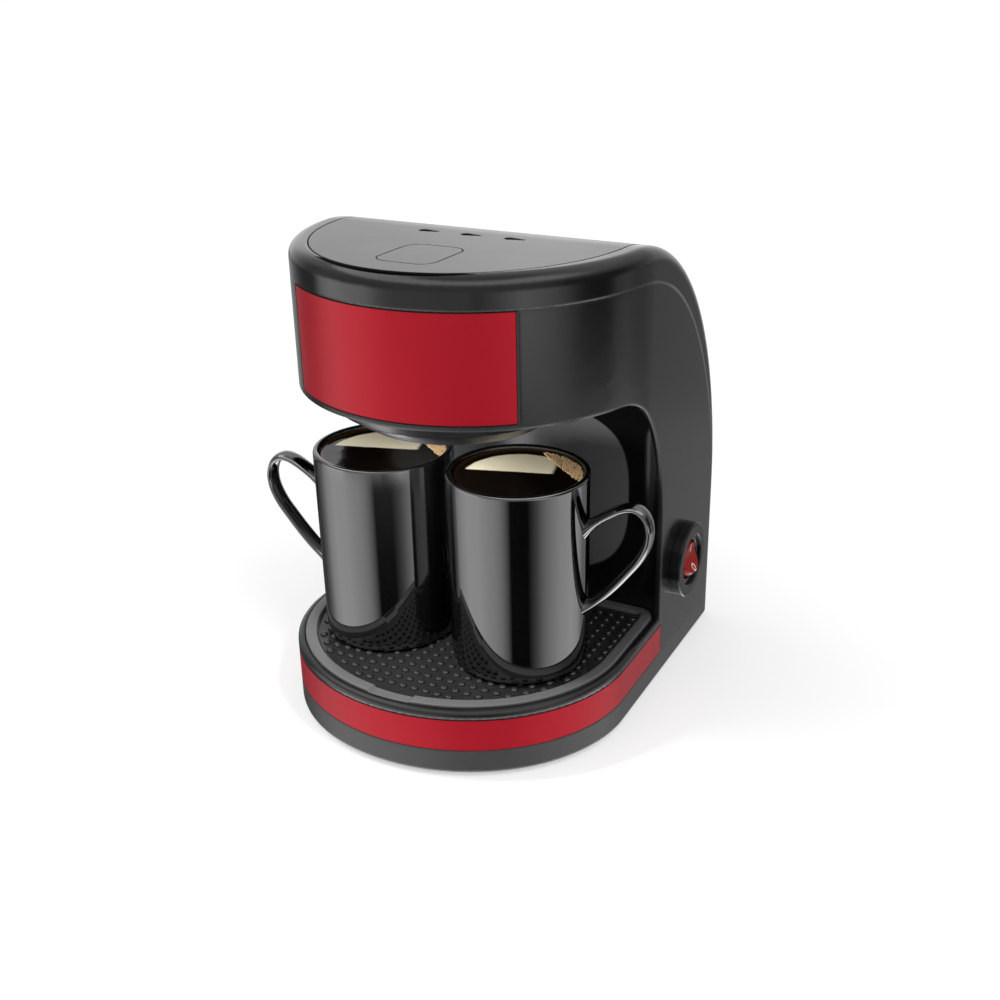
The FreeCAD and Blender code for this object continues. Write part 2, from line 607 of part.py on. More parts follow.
def lid_pad():
    """Finger pad set in the lid, held by a flange under the plate."""
    face = pad_block("pad_face", "pad_gap", "body_height - lid_plate", "body_height")
    flange = pad_block("pad_under", "(0 - pad_flange)", "body_height - lid_plate - skin", "body_height - lid_plate")
    return finish("lid_pad", join("pad_final", face, flange))


def hinge_pins():
    """The two pins that carry the lid in the shell's ears."""
    pins = []
    for side, start in (("left", "rim_width - lid_gap - half_width - ear_thickness"),
                        ("right", "half_width - rim_width + lid_gap + ear_thickness - hinge_pin_length")):
        pins.append(rod(f"pin_{side}", "hinge_pin_radius", "hinge_pin_length", start, "hinge_y", "hinge_z", TO_X))
    return finish("hinge_pins", join("pins_final", *pins))


def main_body(form):
    """Charcoal moulding: base deck with the tray's seat, side panels, bay wall, head wall and floor."""
    base = base_plan("base_block", "0", "low_top", "deck_top", "bay_back")
    deck_z = number("deck_top")
    base = rounded("base_rounded", base, "edge_round",
                   lambda point, edge: abs(point.z - deck_z) < 0.1 and point.y < number("red_band_end"))
    upper = overlap("upper_block", form, seam_side("body_seam"))
    side_cut = side_profile("cheek_cut", "0", "bay_top", "bay_cheek", "cheek_arch_start", "cheek_arch_end")
    bay_low = block("bay_low", (f"0 - {FAR}", f"0 - {FAR}", "deck_top"), (FAR, FAR, FAR))
    open_bay = join("open_bay", overlap("cheeks_open", side_cut, bay_low), bay("bay_space", "0", "deck_top"))
    upper = cut("upper_open", upper, open_bay)
    ledge = overlap("ledge", bay("ledge_bay", "0", "deck_top - 1"), padded(
        "ledge_wedge", "YZ_Plane",
        (("bay_back - ledge_depth", "deck_top - 1"), ("bay_back + 1", "deck_top - 1"),
         ("bay_back + 1", "deck_top + ledge_height"), ("bay_back - 1", "deck_top + ledge_height"),
         ("bay_back - ledge_depth", "deck_top + 1.5")), "body_width"))
    solid = join("body_solid", base, upper, ledge)

    band_recess = cut("band_recess",
                      base_plan("band_recess_outer", "(0 - 5)", "low_top - 1", "red_top + seam_gap", "red_band_end + seam_gap"),
                      base_plan("band_recess_inner", "skin", "low_top - 2", "red_top + 5", "red_band_end + 5"))
    panel_recess = panel_skin("panel_recess", "0 - 5", "skin", "seam_gap")
    well = tray_plan("tray_well", "tray_rim", "well_floor", "deck_top + 20")

    low_hollow = base_plan("low_hollow", "skin + wall", "low_top - 1", "well_floor - wall", "(body_rear - shell_reveal - wall)")
    high_hollow = cut("high_hollow",
                      head_plan("high_hollow_plan", "wall", "well_floor - wall - 1", FAR, "(body_rear + 5)"),
                      bay("bay_wall_form", "wall", "well_floor - wall - 2"),
                      side_profile("cheek_wall_form", "0", "bay_top + wall", "bay_cheek + wall", "cheek_arch_start", "cheek_arch_end"),
                      block("rear_sill", (f"0 - {FAR}", "body_rear - shell_reveal - wall", "0"), (FAR, FAR, "well_floor")))
    funnel_hole = rod("funnel_hole", "floor_hole", "40", "0", "brew_y", "bay_top - 20")
    switch_hole = rod("switch_hole", "surround_bore", "20", "half_width - 10", "switch_y", "switch_z", TO_X)
    body = cut("body_hollowed", solid, band_recess, panel_recess, well, low_hollow, high_hollow, funnel_hole, switch_hole)

    room = overlap("rib_room", high_hollow, block("rib_band", (f"0 - {FAR}", "tank_front", "bay_arch_end"),
                                                   (FAR, "tank_sump_front - wall", "tank_floor")))
    ribs = [overlap(f"tank_rib_{side}", room, block(f"rib_sheet_{side}", (f"{x} - wall / 2", "0", "0"), (f"{x} + wall / 2", FAR, FAR)))
            for side, x in (("left", "(0 - rib_offset)"), ("right", "rib_offset"))]
    bosses = [rod(f"boss_{name}", "boss_radius", "well_floor - wall / 2 - low_top", x, y, "low_top") for name, x, y in SCREWS]
    bores = [rod(f"boss_bore_{name}", "screw_radius", "screw_length", x, y, "screw_seat") for name, x, y in SCREWS]
    return finish("main_body", cut("body_final", join("body_ribbed", body, *ribs, *bosses), *bores))


def tray_plan(name, inset, low, high):
    """The tray's outline: the base's D inside the deck rim, with rounded rear corners."""
    half = f"(half_width - ({inset}))"
    rear = f"(tray_rear + tray_rim - ({inset}))"
    nose = curved_front(f"{name}_nose", half, f"base_arc_start - base_front - ({inset})", "base_arc_start", low, high)
    sides = block(f"{name}_sides", (f"0 - {half}", "base_arc_start", low), (half, f"{rear} - tray_corner", high))
    back = block(f"{name}_back", (f"tray_corner - {half}", "base_arc_start", low), (f"{half} - tray_corner", rear, high))
    corners = [rod(f"{name}_corner_{side}", "tray_corner", f"{high} - ({low})", x, f"{rear} - tray_corner", low)
               for side, x in (("left", f"tray_corner - {half}"), ("right", f"{half} - tray_corner"))]
    return join(name, nose, sides, back, *corners)


def panel_skin(name, outer, inner, gap):
    """The part of the head's front wall that the red panel covers."""
    ring = cut(f"{name}_ring",
               head_plan(f"{name}_outer", f"({outer})", "bay_top - 1", "seam_top + 1"),
               head_plan(f"{name}_inner", f"({inner})", "bay_top - 2", "seam_top + 2"))
    window = block(f"{name}_window",
                   (f"0 - panel_half_width - ({gap})", f"0 - {FAR}", f"bay_top + panel_reveal - ({gap})"),
                   (f"panel_half_width + {gap}", "head_arc_start - panel_half_width / 2", f"seam_top - seam_gap + {gap} * 2"))
    return overlap(name, ring, window)


def red_trims():
    """Painted band around the base and painted panel on the head's front."""
    band = cut("band_form",
               base_plan("band_outer", "0", "low_top", "red_top", "red_band_end"),
               base_plan("band_inner", "skin", "low_top - 1", "red_top + 1", "red_band_end + 1"))
    finish("red_base_band", band)
    finish("red_head_panel", panel_skin("panel_form", "0", "skin", "0"))


def bottom_cover():
    """Shallow pan that closes the base, with saddles for the heater and screw sockets."""
    pan = base_plan("pan_outer", "0", "foot_height", "low_top")
    floor_z = number("foot_height")
    pan = rounded("pan_corners", pan, "shell_round", lambda point, edge: edge.BoundBox.ZLength > 1)
    pan = rounded("pan_rounded", pan, "edge_round", lambda point, edge: abs(point.z - floor_z) < 0.1)
    room = base_plan("pan_room", "wall", "foot_height + wall", "low_top + 1", "(body_rear - wall)")
    pan = cut("pan_hollow", pan, room)
    saddles = [block(f"saddle_{name}", (f"{x} - saddle_width / 2", f"{y} - saddle_width / 2", "foot_height + wall / 2"),
                     (f"{x} + saddle_width / 2", f"{y} + saddle_width / 2", "heater_z - heater_radius"))
               for name, x, y in (("front", "0", "(heater_y - heater_span)"),
                                  ("left", "(0 - heater_span)", "(heater_y + heater_leg / 2)"),
                                  ("right", "heater_span", "(heater_y + heater_leg / 2)"))]
    sockets = [rod(f"socket_{name}", "boss_radius", "low_top - foot_height - wall / 2", x, y, "foot_height + wall / 2")
               for name, x, y in SCREWS]
    heads = [rod(f"head_hole_{name}", "screw_head_radius + seam_gap", "screw_head_height + 1", x, y, "foot_height - 1")
             for name, x, y in SCREWS]
    bores = [rod(f"pan_bore_{name}", "screw_radius", "screw_length", x, y, "foot_height") for name, x, y in SCREWS]
    dents = [rod(f"foot_dent_{name}", "foot_radius", "foot_recess + 1", x, y, "foot_height - 1") for name, x, y in feet_places()]
    slots = [block(f"air_slot_{index}", (f"{index - 2} * 9 - 28", "50", "0"), (f"{index - 2} * 9 - 25", "78", "foot_height + wall + 1"))
             for index in range(5)]
    whole = join("pan_joined", pan, *saddles, *sockets)
    return finish("bottom_cover", cut("pan_final", whole, *heads, *bores, *dents, *slots))


def feet_places():
    """One foot at the middle of the front, one each side of it and two at the rear corners."""
    depth = "(base_arc_start - base_front - foot_inset)"
    side_x = "(half_width - foot_inset) * sin(front_foot_angle)"
    side_y = f"base_arc_start - {depth} * cos(front_foot_angle)"
    return (("front", "0", f"base_arc_start - {depth}"),
            ("side_left", f"0 - {side_x}", side_y), ("side_right", side_x, side_y),
            ("rear_left", "(0 - rear_foot_x)", "(body_rear - foot_inset - 4)"),
            ("rear_right", "rear_foot_x", "(body_rear - foot_inset - 4)"))


def feet():
    """Rubber feet let into the bottom cover."""
    pieces = [rod(f"foot_{name}", "foot_radius", "foot_height + foot_recess", x, y, "0") for name, x, y in feet_places()]
    return finish("rubber_feet", join("feet_final", *pieces))


def screws():
    """The screws that hold the bottom cover to the body."""
    pieces = []
    for name, x, y in SCREWS:
        head = rod(f"screw_head_{name}", "screw_head_radius", "screw_head_height", x, y, "foot_height")
        shank = rod(f"screw_shank_{name}", "screw_radius", "screw_length", x, y, "screw_seat")
        pieces.append(join(f"screw_{name}", head, shank))
    return finish("bottom_screws", join("screws_final", *pieces))


def drip_tray():
    """Lift-out tray: a raised lip around a dimpled plate, with a finger notch at the front."""
    outer = tray_plan("tray_outer", "tray_rim + tray_gap", "well_floor", "deck_top + tray_lip_rise")
    lip_z = number("deck_top + tray_lip_rise")
    outer = rounded("tray_rounded", outer, "tray_lip_rise * 0.7", lambda point, edge: abs(point.z - lip_z) < 0.1)
    face = tray_plan("tray_face", "tray_rim + tray_gap + tray_lip", "dimple_top", "deck_top + 5")
    under = tray_plan("tray_under", "tray_rim + tray_gap + wall", "well_floor - 1", "deck_top - tray_plate_drop - tray_plate")
    notch = block("tray_notch", ("0 - notch_half_width", f"0 - {FAR}", "dimple_top"),
                  ("notch_half_width", "base_arc_start", "deck_top + 5"))
    plate = cut("tray_plain", outer, face, under, notch)
    return finish("drip_tray", plate)


def brew_funnel():
    """Dish under the head that gathers the brew into two spouts, with a collar through the head floor."""
    dish = turned("funnel_turned", (
        ("0", "bay_top - funnel_depth"), ("funnel_bottom_radius", "bay_top - funnel_depth"),
        ("funnel_bottom_radius + 10", "bay_top - funnel_depth * 0.83"),
        ("funnel_top_radius - 4", "bay_top - funnel_depth * 0.36"),
        ("funnel_top_radius", "bay_top - 1"), ("funnel_top_radius", "bay_top"),
        ("floor_hole", "bay_top"), ("floor_hole", "collar_top"), ("floor_hole - wall", "collar_top"),
        ("floor_hole - wall", "bay_top - wall"),
        ("funnel_bottom_radius + 5", "bay_top - funnel_depth * 0.83 + wall"),
        ("funnel_bottom_radius - 2", "bay_top - funnel_depth + wall"), ("0", "bay_top - funnel_depth + wall")),
        "0", "brew_y")
    space = join("funnel_space", bay("funnel_bay", "0", "deck_top"),
                 rod("funnel_neck", "floor_hole", "40", "0", "brew_y", "bay_top - 20"))
    dish = overlap("funnel_trimmed", dish, space)
    spouts, bores = [], []
    for side, x in (("left", "(0 - spout_offset)"), ("right", "spout_offset")):
        spouts.append(rod(f"spout_{side}", "spout_radius", "spout_drop + wall / 2", x, "brew_y", "bay_top - funnel_depth - spout_drop"))
        bores.append(rod(f"spout_bore_{side}", "spout_bore", "20", x, "brew_y", "bay_top - funnel_depth - 10"))
    return finish("brew_funnel", cut("funnel_final", join("funnel_joined", dish, *spouts), *bores))


def filter_parts():
    """Filter basket seated on the funnel's collar, and the permanent filter that stands in it."""
    basket = turned("basket_turned", (
        ("basket_drain", "collar_top - basket_depth"), ("basket_floor_radius", "collar_top - basket_depth"),
        ("floor_hole - wall - mesh_gap", "collar_top"), ("floor_hole", "collar_top"),
        ("basket_radius", "collar_top + basket_height - basket_rim"),
        ("basket_radius + 2", "collar_top + basket_height - basket_rim"), ("basket_radius + 2", "collar_top + basket_height"),
        ("basket_radius - tank_wall", "collar_top + basket_height"),
        ("floor_hole - wall - mesh_gap - tank_wall", "collar_top + tank_wall"),
        ("basket_floor_radius - tank_wall", "collar_top - basket_depth + tank_wall"),
        ("basket_drain", "collar_top - basket_depth + tank_wall")), "0", "brew_y")
    finish("filter_basket", basket)
    low = "(collar_top - basket_depth + tank_wall)"
    wide = "(floor_hole - wall - tank_wall - 2 * mesh_gap)"
    mesh = turned("mesh_turned", (
        ("0", low), ("basket_floor_radius - tank_wall - mesh_gap - 2", low),
        (f"{wide} - 1", "collar_top + tank_wall"), (wide, "collar_top + mesh_top"),
        (wide, "collar_top + mesh_top + mesh_ring"), ("grip_half_span", "collar_top + mesh_top + mesh_ring"),
        ("grip_half_span", "collar_top + mesh_top"), (f"{wide} - mesh_wall", "collar_top + mesh_top - 1"),
        (f"{wide} - 1 - mesh_wall", "collar_top + tank_wall + 1"),
        ("basket_floor_radius - tank_wall - mesh_gap - 2 - mesh_wall", f"{low} + mesh_wall"), ("0", f"{low} + mesh_wall")),
        "0", "brew_y")
    finish("mesh_filter", mesh)
    foot = "(collar_top + mesh_top + mesh_ring)"
    span = "(grip_half_span + grip_thickness)"
    radius = f"(({span}^2 + grip_rise^2) / (2 * grip_rise))"
    bow = cut("grip_bow",
              rod("grip_outer", radius, "grip_width", "0", "brew_y - grip_width / 2", f"{foot} + grip_rise - {radius}", TO_Y),
              rod("grip_inner", f"{radius} - grip_thickness", "grip_width + 2", "0", "brew_y - grip_width / 2 - 1",
                  f"{foot} + grip_rise - {radius}", TO_Y))
    above = block("grip_above", (f"0 - {FAR}", f"0 - {FAR}", foot), (FAR, FAR, FAR))
    finish("filter_handle", overlap("grip_final", bow, above))


def tank_form(name, inset):
    """The tank's stepped form under the falling top of the shell, drawn in by a wall where asked."""
    side = f"(tank_half_width - ({inset}))"
    front = block(f"{name}_front", (f"0 - {side}", f"tank_front + {inset}", f"tank_floor + {inset}"), (side, FAR, f"tank_top + {inset}"))
    sump = block(f"{name}_sump", (f"0 - {side}", f"tank_sump_front + {inset}", f"tank_sump_floor + {inset}"),
                 (side, FAR, "tank_top - 1"))
    return overlap(name, join(f"{name}_block", front, sump), outer_side(f"{name}_sweep", f"(wall + tank_gap + {inset})"))


def water_tank():
    """Open-topped tank behind the filter; its outside follows the falling top of the shell."""
    outer = tank_form("tank_form", "0")
    inner = tank_form("tank_room", "tank_wall")
    neck = rod("tank_neck", "hose_bore", "outlet_length + tank_wall / 2", "outlet_x", "outlet_y", "tank_sump_floor - outlet_length")
    bore = rod("tank_bore", "hose_bore - 1", "outlet_length + 10", "outlet_x", "outlet_y", "tank_sump_floor - outlet_length - 1")
    return finish("water_tank", cut("tank_final", join("tank_necked", outer, neck), inner, bore))


def wire_through(points, radii):
    """A path of straight runs joined by tangent arcs of the given radii."""
    edges, start = [], points[0]
    for index in range(1, len(points) - 1):
        before = (points[index - 1] - points[index]).normalize()
        after = (points[index + 1] - points[index]).normalize()
        half = before.getAngle(after) / 2
        reach = radii[index - 1] / math.tan(half)
        first = points[index] + before * reach
        last = points[index] + after * reach
        centre = points[index] + (before + after).normalize() * (radii[index - 1] / math.sin(half))
        middle = centre + (points[index] - centre).normalize() * radii[index - 1]
        edges.append(Part.LineSegment(start, first).toShape())
        edges.append(Part.Arc(first, middle, last).toShape())
        start = last
    edges.append(Part.LineSegment(start, points[-1]).toShape())
    return Part.Wire(edges)


def piped(name, points, radii, outside, bore):
    """A tube along a path; its sizes come from the sheet."""
    places = [Vector(*(number(value) for value in point)) for point in points]
    path = wire_through(places, [number(radius) for radius in radii])
    along = places[1] - places[0]

    def filled(radius):
        ring = Part.Wire(Part.Circle(places[0], along, number(radius)).toShape())
        return path.makePipeShell([ring], True, False)

    item = DOC.addObject("Part::Feature", name)
    item.Shape = filled(outside).cut(filled(bore))
    item.Placement = Placement(Vector(0, 0, 0), Rotation())
    return item


def water_lines():
    """Cold hose from the tank to the heater, hot hose from the heater to the riser, riser and shower arm."""
    leg_end = "heater_y + heater_leg"
    bend = "2.2 * hose_radius"
    finish("cold_hose", piped("cold_hose_pipe", (
        ("outlet_x", "outlet_y", "tank_sump_floor - 1"), ("outlet_x", "outlet_y", "heater_z + 24"),
        ("heater_span", "outlet_y", "heater_z"), ("heater_span", leg_end, "heater_z")), (bend, bend), "hose_radius", "hose_bore"))
    finish("hot_hose", piped("hot_hose_pipe", (
        ("0 - heater_span", leg_end, "heater_z"), ("0 - heater_span", "riser_y", "heater_z"),
        ("riser_x", "riser_y", "heater_z + 20"), ("riser_x", "riser_y", "riser_low + stub")), (bend, bend), "hose_radius", "riser_radius"))
    finish("riser_tube", piped("riser_pipe", (
        ("riser_x", "riser_y", "riser_low"), ("riser_x", "riser_y", "riser_turn"), ("riser_x", "16", "riser_turn"),
        ("riser_x", "brew_y", "shower_z"), ("0", "brew_y", "shower_z"), ("0", "brew_y", "shower_z - 6.5")),
        ("10", "14", "12", "6"), "riser_radius", "riser_bore"))


def clamps():
    """Spring bands around the hose ends."""
    bands = []
    for name, radius, x, y, z, turn in (
            ("tank", "hose_radius", "outlet_x", "outlet_y", "tank_sump_floor - 9", None),
            ("cold", "hose_radius", "heater_span", "heater_y + heater_leg + 2", "heater_z", TO_Y),
            ("hot", "hose_radius", "(0 - heater_span)", "heater_y + heater_leg + 2", "heater_z", TO_Y),
            ("riser", "hose_radius", "riser_x", "riser_y", "riser_low + 1", None)):
        outside = rod(f"clamp_{name}_outer", f"{radius} + clamp_thickness", "clamp_width", x, y, z, turn)
        inside = rod(f"clamp_{name}_inner", radius, "clamp_width", x, y, z, turn)
        bands.append(cut(f"clamp_{name}", outside, inside))
    return finish("hose_clamps", join("clamps_final", *bands))


def heater():
    """U-shaped heating tube, its thermostat and its thermal fuse."""
    bend = make("Part::Torus", "heater_bend", Radius1="heater_span", Radius2="heater_radius")
    bend.Angle3 = 180
    put(bend, "0", "heater_y", "heater_z", Rotation(Vector(0, 0, 1), 180))
    channel = make("Part::Torus", "heater_channel", Radius1="heater_span", Radius2="heater_bore - 0.5")
    channel.Angle3 = 180
    put(channel, "0", "heater_y", "heater_z", Rotation(Vector(0, 0, 1), 180))
    legs, bores = [bend], [channel]
    for side, x in (("left", "(0 - heater_span)"), ("right", "heater_span")):
        legs.append(rod(f"leg_{side}", "heater_radius", "heater_leg - 1", x, "heater_y", "heater_z", TO_Y))
        legs.append(rod(f"nipple_{side}", "hose_bore", "stub + heater_leg", x, "heater_y", "heater_z", TO_Y))
        bores.append(rod(f"leg_bore_{side}", "heater_bore - 0.5", "heater_leg + 30", x, "heater_y", "heater_z", TO_Y))
    finish("heater_tube", cut("heater_final", join("heater_joined", *legs), *bores))
    finish("thermostat", rod("thermostat_disc", "thermostat_radius", "thermostat_height", "0",
                             "heater_y - heater_span", "heater_z + heater_radius"))
    finish("thermal_fuse", rod("fuse_sleeve", "fuse_radius", "fuse_length", "(0 - heater_span)", "heater_y + 6",
                               "heater_z + heater_radius + fuse_radius", TO_Y))


def switch_parts():
    """Round surround proud of the side panel, the switch module in it, and its rocker at one end of its tilt."""
    face = "half_width"
    ring = cut("surround_ring",
               rod("surround_disc", "surround_radius", "surround_proud", face, "switch_y", "switch_z", TO_X),
               rod("surround_window", "surround_bore", "20", f"{face} - 5", "switch_y", "switch_z", TO_X))
    proud_x = number("half_width + surround_proud")
    finish("switch_surround", rounded("surround_rounded", ring, "edge_round / 2", lambda point, edge: abs(point.x - proud_x) < 0.1))

    flange = rod("module_flange", "surround_bore", "switch_flange + wall", f"{face} - wall", "switch_y", "switch_z", TO_X)
    barrel = rod("module_barrel", "surround_bore - 1", "module_depth", f"{face} - wall - module_depth", "switch_y", "switch_z", TO_X)
    window = rod("module_window", "switch_bore", "30", f"{face} - wall - rocker_depth", "switch_y", "switch_z", TO_X)
    pin = rod("rocker_pin", "rocker_pivot_radius", "2 * switch_bore + 2", "rocker_x", "switch_y - switch_bore - 1", "switch_z", TO_Y)
    blades = [block(f"module_blade_{side}", (f"{face} - wall - module_depth - stub", "switch_y - 3", f"switch_z + {z} - 0.4"),
                    (f"{face} - wall - module_depth", "switch_y + 3", f"switch_z + {z} + 0.4"))
              for side, z in (("low", "(0 - stub / 2)"), ("high", "stub / 2"))]
    opened = cut("module_open", join("module_joined", flange, barrel), window)
    finish("switch_module", join("module_final", opened, pin, *blades))

    rise = "(rocker_pivot_depth + rocker_proud)"
    foot = "(1 - rocker_pivot_depth)"
    paddle = padded("paddle", "XZ_Plane", (
        (foot, "0 - 2 * rocker_radius"), ("rocker_pivot_depth", "0 - rocker_radius * 0.1"), ("rocker_pivot_depth", "rocker_radius * 0.1"),
        (rise, "rocker_radius"), (rise, "2 * rocker_radius"), (foot, "2 * rocker_radius")), "3 * rocker_radius")
    lower = padded("paddle_lower", "XZ_Plane", (
        (foot, "0 - 2 * rocker_radius"), (rise, "0 - 2 * rocker_radius"), (rise, "0 - rocker_radius"),
        ("rocker_pivot_depth", "0 - rocker_radius * 0.1"), ("rocker_pivot_depth", "0"), (foot, "0")), "3 * rocker_radius")
    ball = put(make("Part::Sphere", "rocker_ball", Radius="rocker_radius"), turn=TO_X)
    bore = rod("rocker_bore", "rocker_pivot_radius + hinge_pin_clearance", "60", "0", "0 - 30", "0", TO_Y)
    level = cut("rocker_level", overlap("rocker_round", join("paddles", paddle, lower), ball), bore)
    finish("rocker", put(level, "rocker_x", "switch_y", "switch_z", Rotation(Vector(0, 1, 0), number("0 - rocker_tilt"))))


def cord_gland():
    """Bush in the back for the mains lead."""
    flange = rod("gland_outer", "gland_flange", "2.5", "gland_x", "body_rear", "gland_z", TO_Y)
    neck = rod("gland_neck", "gland_radius", "wall + 3.4", "gland_x", "body_rear - wall - 3.4", "gland_z", TO_Y)
    bore = rod("gland_hole_through", "gland_bore", "30", "gland_x", "body_rear - 15", "gland_z", TO_Y)
    return finish("cord_gland", cut("gland_final", join("gland_joined", flange, neck), bore))


def mug(side, direction):
    """A slightly tapered mug with a strap handle that is turned a little to the rear."""
    x = f"{direction} * mug_x"
    outside = turned(f"mug_{side}_outside", (
        ("0", "0"), ("mug_foot_radius - mug_foot_round", "0"), ("mug_foot_radius", "mug_foot_round"),
        ("mug_rim_radius", "mug_height"), ("0", "mug_height")))
    inside = turned(f"mug_{side}_inside", (
        ("0", "mug_floor"), ("mug_foot_radius - mug_wall - mug_foot_round", "mug_floor"),
        ("mug_foot_radius - mug_wall", "mug_floor + mug_foot_round"), ("mug_rim_radius - mug_wall", "mug_height + 1"),
        ("0", "mug_height + 1")))
    root = "(mug_foot_radius - mug_wall / 2)"
    points = ((root, "0", "mug_height - handle_root_drop"),
              ("mug_rim_radius + handle_crest_reach", "0", "mug_height - handle_crest_drop"),
              ("mug_rim_radius + handle_elbow_reach", "0", "mug_height - handle_elbow_drop"),
              ("mug_rim_radius + handle_tail_reach", "0", "mug_height - handle_tail_drop"),
              (root, "0", "mug_height - handle_foot_drop"))
    places = [Vector(*(number(value) for value in point)) for point in points]
    path = wire_through(places, [number(f"handle_{bend}_bend") for bend in ("crest", "elbow", "tail")])
    half_width = number("handle_width") / 2
    half_thickness = number("handle_thickness") / 2
    along = (places[1] - places[0]).normalize()
    section = Part.Ellipse(Vector(0, 0, 0), half_width, half_thickness).toShape()
    turn = Rotation(Vector(0, 1, 0), along.cross(Vector(0, 1, 0)), along, "ZXY")
    section.Placement = Placement(places[0], turn)
    strap = DOC.addObject("Part::Feature", f"mug_{side}_strap")
    strap.Shape = path.makePipeShell([Part.Wire(section)], True, True)
    whole = cut(f"mug_{side}_final", join(f"mug_{side}_solid", outside, strap), inside)
    angle = number("handle_turn_right") if direction > 0 else 180 - number("handle_turn_left")
    return finish(f"mug_{side}", put(whole, x, "mug_y", "mug_base", Rotation(Vector(0, 0, 1), angle)))


def check_and_write():
    """Every object must be sound before anything is written."""
    DOC.recompute()
    for item in DOC.Objects:
        if "Invalid" in item.State or "Error" in item.State:
            raise RuntimeError(f"{item.Name} did not compute: {item.getStatusString()}")
    os.makedirs("parts", exist_ok=True)
    for node, item in PARTS.items():
        shape = item.Shape
        if shape.isNull() or not shape.isValid() or not shape.Solids:
            raise RuntimeError(f"{node} has no sound shape")
        shape.exportStep(f"parts/{node}.step")
        box = shape.BoundBox
        print(f"{node:18s} solids {len(shape.Solids)} volume {shape.Volume:10.1f}"
              f"  x {box.XMin:7.1f} {box.XMax:7.1f}  y {box.YMin:7.1f} {box.YMax:7.1f}  z {box.ZMin:6.1f} {box.ZMax:6.1f}")


main_body(outer_shell())
red_trims()
bottom_cover()
feet()
screws()
lid()
lid_pad()
hinge_pins()
drip_tray()
brew_funnel()
filter_parts()
water_tank()
water_lines()
clamps()
heater()
switch_parts()
cord_gland()
mug("right", 1)
mug("left", -1)
check_and_write()
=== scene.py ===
# %% [markdown]
# # A two-cup drip coffee maker
# A measured model of the machine gives every body its place. This lesson dresses that model:
# light and camera come first, then each finish, then the pieces that need finer shapes than a
# measured model carries, such as the tray's dimples, the drink in the mugs and the filter's mesh.

# %% Load the measured model
import json
import math

import bmesh
import bpy
from mathutils import Matrix, Vector


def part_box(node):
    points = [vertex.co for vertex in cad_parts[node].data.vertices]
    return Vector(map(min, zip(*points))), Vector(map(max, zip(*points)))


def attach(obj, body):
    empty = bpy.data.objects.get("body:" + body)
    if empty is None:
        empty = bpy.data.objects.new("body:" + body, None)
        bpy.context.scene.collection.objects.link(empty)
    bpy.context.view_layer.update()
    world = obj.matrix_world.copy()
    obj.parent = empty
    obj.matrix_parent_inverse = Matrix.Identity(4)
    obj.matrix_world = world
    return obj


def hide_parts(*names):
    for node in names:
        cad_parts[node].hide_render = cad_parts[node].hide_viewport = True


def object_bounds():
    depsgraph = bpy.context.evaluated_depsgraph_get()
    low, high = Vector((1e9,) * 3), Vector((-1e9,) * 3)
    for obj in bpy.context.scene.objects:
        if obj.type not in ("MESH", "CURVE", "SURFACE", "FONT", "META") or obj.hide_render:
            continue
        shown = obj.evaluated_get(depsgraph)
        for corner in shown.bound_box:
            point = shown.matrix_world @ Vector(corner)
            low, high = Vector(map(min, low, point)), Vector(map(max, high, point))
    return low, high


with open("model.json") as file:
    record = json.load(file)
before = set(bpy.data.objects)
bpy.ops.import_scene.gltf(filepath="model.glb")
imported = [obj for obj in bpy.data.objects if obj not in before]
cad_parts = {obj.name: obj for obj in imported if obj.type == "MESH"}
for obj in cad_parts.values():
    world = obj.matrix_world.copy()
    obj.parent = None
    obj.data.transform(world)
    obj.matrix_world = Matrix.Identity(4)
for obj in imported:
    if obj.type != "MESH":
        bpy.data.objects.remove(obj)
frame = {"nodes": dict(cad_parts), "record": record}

CAD_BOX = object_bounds()
NODES = frame["nodes"]
MM = 0.001
print("nodes:", len(NODES), "height:", round(CAD_BOX[1].z, 4))

# %% [markdown]
# ## Camera
# The machine is seen from the front right and a little above. Yaw turns the camera round the
# machine, pitch lifts it, and a small shift frames the machine without turning the camera.

# %% Camera
def placed(name, data):
    """A new object in the scene."""
    thing = bpy.data.objects.new(name, data)
    bpy.context.scene.collection.objects.link(thing)
    return thing


def aim(thing, place, direction, up):
    """Stand a camera or a lamp at a place, looking along a direction."""
    thing.rotation_mode = "QUATERNION"
    thing.rotation_quaternion = direction.to_track_quat("-Z", up)
    thing.location = place


def make_camera(place, yaw, pitch, lens, shift):
    """A camera at a place; yaw 0 looks from the front, and a positive pitch looks down."""
    data = bpy.data.cameras.new("camera")
    data.lens = lens
    data.sensor_width = 36.0
    data.shift_x, data.shift_y = shift
    data.clip_start, data.clip_end = 0.01, 50.0
    camera = placed("camera", data)
    turn, tip = math.radians(yaw), math.radians(pitch)
    back = Vector((math.sin(turn) * math.cos(tip), -math.cos(turn) * math.cos(tip), math.sin(tip)))
    aim(camera, place, -back, "Y")
    bpy.context.scene.camera = camera


CAMERA_PLACE = (0.28892, -0.52745, 0.35893)
make_camera(CAMERA_PLACE, yaw=24.99, pitch=23.34, lens=45.31, shift=(-0.062, -0.005))
bpy.context.scene.view_settings.view_transform = "Standard"
print("camera stands at", [round(v, 3) for v in bpy.context.scene.camera.location])

# %% [markdown]
# ## Light
# Black gloss has almost no colour of its own, so what it mirrors is what we see. A small studio
# with wide soft boxes and a dark gap between them gives the upright bands that polished mugs show.
# The whole studio can be painted into the world: the direction of a ray says which wall it meets.
# Three belts of wall lie one above another. The low one is what upright mugs mirror, the middle one
# lights the head, and the high one is what rounded shoulders and the lid pick up.

# %% Node helpers
def link(tree, source, target):
    tree.links.new(source, target)


def fill(tree, socket, value):
    """Link a value that another node gives, or set a plain one."""
    if hasattr(value, "is_linked"):
        link(tree, value, socket)
    else:
        socket.default_value = value


